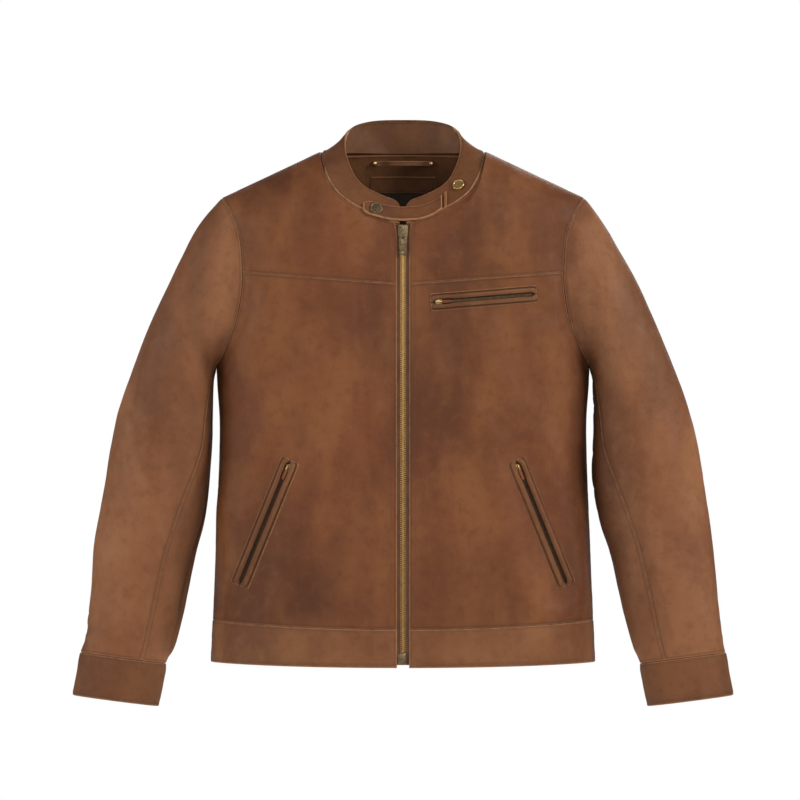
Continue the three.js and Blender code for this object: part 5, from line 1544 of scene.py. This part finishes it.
def pocket(where, side, label):
    half, rim = where.length / 2, where.height / 2
    rows = []
    for up, lip in ((1, "upper"), (-1, "lower")):
        piece = Hide(
            f"{label}_{lip}_lip", lip_at(where, up, side), shares(where.length, 2.2), LIP_ROWS,
            lambda points: points + where.inward * (side, 1, 1) * 90, TRIM_HIDE, thickness=1.9,
            relief=lip_relief, radius=0.8, rub=0.9, hollow=2.0, pucker=0, shade=lip_shade
        )
        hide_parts(f"{label}_welt_{lip}")
        fasten("trim_leather", "shell", piece.piece)
        rows += [piece.line("t", 1.9), piece.line("l", 1.9), piece.line("r", 1.9)]
    sewing = stitches(f"{label}_stitching", rows, pitch=2.9, length=2.1, gauge=0.3, ends=1.0)
    fasten("trim_leather", "shell", sewing)

    def placed(points):
        return where.placed(*points.T) * (side, 1, 1)

    verts, faces = [], []
    first = -half + END_TAB + ROOM_FOR_SLIDER
    for row in (1, -1):
        starts = np.arange(first + (row > 0) * TOOTH_PITCH / 2, half - END_TAB, TOOTH_PITCH)
        points, quads = tooth_row(placed, starts, row, TOOTH_DEPTHS, TOOTH_REACH, TOOTH_PITCH)
        faces += [[i + sum(map(len, verts)) for i in quad] for quad in quads]
        verts.append(points)
    if side < 0:
        faces = [face[::-1] for face in faces]
    # The pocket teeth take the dark brass as painted shade, for the shade of the slot they lie in.
    chain = new_piece(f"{label}_teeth", np.concatenate(verts), faces, DARK_BRASS, sharp=35)
    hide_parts(f"{label}_zip_chain")
    fasten("zip_tape_and_teeth", "shell", chain)

    def tape_at(u, v):
        x, z = lerp(-half + 1, half - 1, u), lerp(-TAPE_HALF, TAPE_HALF, v)
        return where.placed(x, 0 * x + TAPE_DEPTH, z) * (side, 1, 1)

    tape = Hide(
        f"{label}_tape", tape_at, np.linspace(0, 1, 40), np.linspace(0, 1, 12),
        lambda points: points + where.inward * (side, 1, 1) * 90, TAPE_CLOTH, thickness=0.6, sewn=""
    )
    fasten("zip_tape_and_teeth", "shell", tape.piece)
    eased(f"{label}_slider_brass", f"{label}_slider", 0.28, BRASS, "brass_fittings", f"{label}_slider")
    eased(f"{label}_pull_tongue", f"{label}_pull", 0.22, TAB_HIDE, "pull_leather", f"{label}_pull")


pocket(CHEST, 1, "chest_pocket")
for side, name in SIDES:
    pocket(HAND, side, f"hand_pocket_{name}")

# ---------------------------------------------------------------- main zip
# Brass teeth clamped on cotton tape, one half sewn behind each front edge. The slider runs up to the
# collar and carries a flat pull with a hole at its end; the box and pin part at the hem.
CHAIN_HALF, PITCH, CHAIN_NEAR, CHAIN_FAR = 3.7, 2.6, 0.6, 3.8
CHAIN_LOW, CHAIN_HIGH = 20.5, 541.0
TAPE_WIDTH, TAPE_NEAR = 13, 1.9
TEETH_BRASS = metal_finish("zip brass", tone(232, 190, 118), tone(190, 146, 84), 0.28)


def in_plane(points):
    """From the front's flat plane, x across, y inward and z up along the zip, to where it leans."""
    x, y, z = np.moveaxis(points, -1, 0)
    c, s = math.cos(LEAN), math.sin(LEAN)
    return np.stack((x, -FRONT_DEPTH_HEM + y * c + z * s, -y * s + z * c), -1)


def up_the_zip(points):
    """Places along, in and across the zip, to where the front leans."""
    return in_plane(points[:, [2, 1, 0]])


for side, name in SIDES:
    starts = np.arange(CHAIN_LOW + (side > 0) * PITCH / 2, CHAIN_HIGH, PITCH)
    points, faces = tooth_row(up_the_zip, starts, side, (CHAIN_NEAR, CHAIN_FAR), CHAIN_HALF, PITCH)
    if side > 0:
        faces = [face[::-1] for face in faces]
    teeth = new_piece(f"zip_teeth_{name}", points, faces, TEETH_BRASS, sharp=35)
    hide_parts(f"zip_half_{name}")

    def tape_at(u, v):
        x, z = lerp(1.2, TAPE_WIDTH + 1, u) * side, lerp(4.0, 556.0, v)
        return in_plane(np.stack((x, 0 * x + TAPE_NEAR + 0.1, z), -1))

    tape = Hide(
        f"zip_tape_{name}", tape_at, np.linspace(0, 1, 14), np.linspace(0, 1, 200), (0, 400, 300),
        TAPE_CLOTH, thickness=0.6, sewn="",
        relief=lambda points, inset, u, v: 0.5 * np.exp(-(((u - 0.12) / 0.1) ** 2)), pucker=0
    )
    fasten("zip_tape_and_teeth", f"front_{name}", teeth, tape.piece)
eased("main_slider_brass", "main_slider", 0.45, DARK_BRASS, "brass_fittings", "main_slider", 3)
eased("main_pull_brass", "main_pull", 0.3, DARK_BRASS, "dark_brass", "main_pull")
eased("insertion_box_brass", "insertion_box", 0.4, DARK_BRASS, "brass_fittings", "front_right")
eased("insertion_pin_brass", "insertion_pin", 0.3, DARK_BRASS, "brass_fittings", "front_left")

# ---------------------------------------------------------------- throat strap and snaps
# A short strap comes out of the left side of the collar, crosses the zip and snaps down on the right.
# Its edges are stitched and its tip is cut to a blunt point. A spare snap parks it open.
STRAP_LONG, STRAP_WIDTH, STRAP_THICKNESS = 108, 19.6, 2.2
STRAP_LEAN = math.radians(30)
STRAP_COURSE = (
    (49, 7.2, 27.5), (37, 4.4, 19.5), (25, 3.4, 14.8), (10, 3.2, 12.8), (-5, 3.2, 12.6), (-20, 2.8, 14.4),
    (-34, 3.1, 18), (-50, 2.2, 21.5)
)
course = [(x, behind - FRONT_DEPTH_NECK, NECK_FRONT + up) for x, behind, up in STRAP_COURSE]
strap_path = smooth_curve(course, False)
strap_across = np.array((0, math.sin(STRAP_LEAN), math.cos(STRAP_LEAN)))


def strap_at(u, v):
    width = STRAP_WIDTH * np.where(u < 0.93, 1, lerp(1, 0.5, (u - 0.93) / 0.07))
    return strap_path(u) + strap_across * ((v - 0.5) * width)[..., None]


strap = Hide(
    "throat_strap_hide", strap_at, shares(STRAP_LONG, 1.8), shares(STRAP_WIDTH, 1.6), collar_core,
    COLLAR_HIDE, thickness=STRAP_THICKNESS,
    relief=lambda points, inset, u, v: STRAP_THICKNESS + 0.25 * noise(261, u * 12, v * 3), radius=1.1,
    rub=0.9
)
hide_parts("throat_strap")
rows = [strap.line("t", 2.6), strap.line("b", 2.6), strap.line("r", 2.6)]
sewing = stitches("throat_strap_stitching", rows, pitch=2.6, length=1.9, gauge=0.28)
fasten("trim_leather", "throat_strap", strap.piece, sewing)

root, beyond = strap_path(np.array(0.0)), strap_path(np.array(0.0)) - strap_path(np.array(0.03))
beyond = beyond / np.linalg.norm(beyond)
WELT_START, WELT_WIDTH, WELT_LENGTH = 3.1, 4.2, 22.0  # clear of the strap's thickness as it stands up


def welt_at(u, v):
    width, length = WELT_START + WELT_WIDTH * u, (v - 0.5) * WELT_LENGTH
    return root + beyond * width[..., None] + strap_across * length[..., None]


welt = Hide(
    "strap_slit_welt", welt_at, np.linspace(0, 1, 16), np.linspace(0, 1, 30), collar_core, COLLAR_HIDE,
    thickness=4.0, relief=lambda points, inset, u, v: 1.2 + 0.9 * np.sin(u * math.pi), radius=1.4, pucker=0
)
fasten("trim_leather", "shell", welt.piece)

SNAP_ROWS = (
    (0.9, 0), (0.98, 0.14), (1, 0.4), (0.97, 0.74), (0.9, 0.92), (0.82, 0.9), (0.77, 0.62), (0.66, 0.64),
    (0.45, 0.72), (0.2, 0.77), (0.02, 0.78)
)
# The strap's snap cap takes the dark brass as painted shade; the park snap and the stud take the bright
# brass.
turned_metal("snap_cap_brass", "snap_cap", SNAP_ROWS, "throat_strap", DARK_BRASS)
turned_metal("park_snap_brass", "park_snap", SNAP_ROWS, "shell", BRASS)
STUD_ROWS = ((1, 0), (1, 0.3), (0.6, 0.4), (0.6, 0.8), (0.3, 1))
turned_metal("snap_stud_brass", "snap_stud", STUD_ROWS, "shell", BRASS, 24)
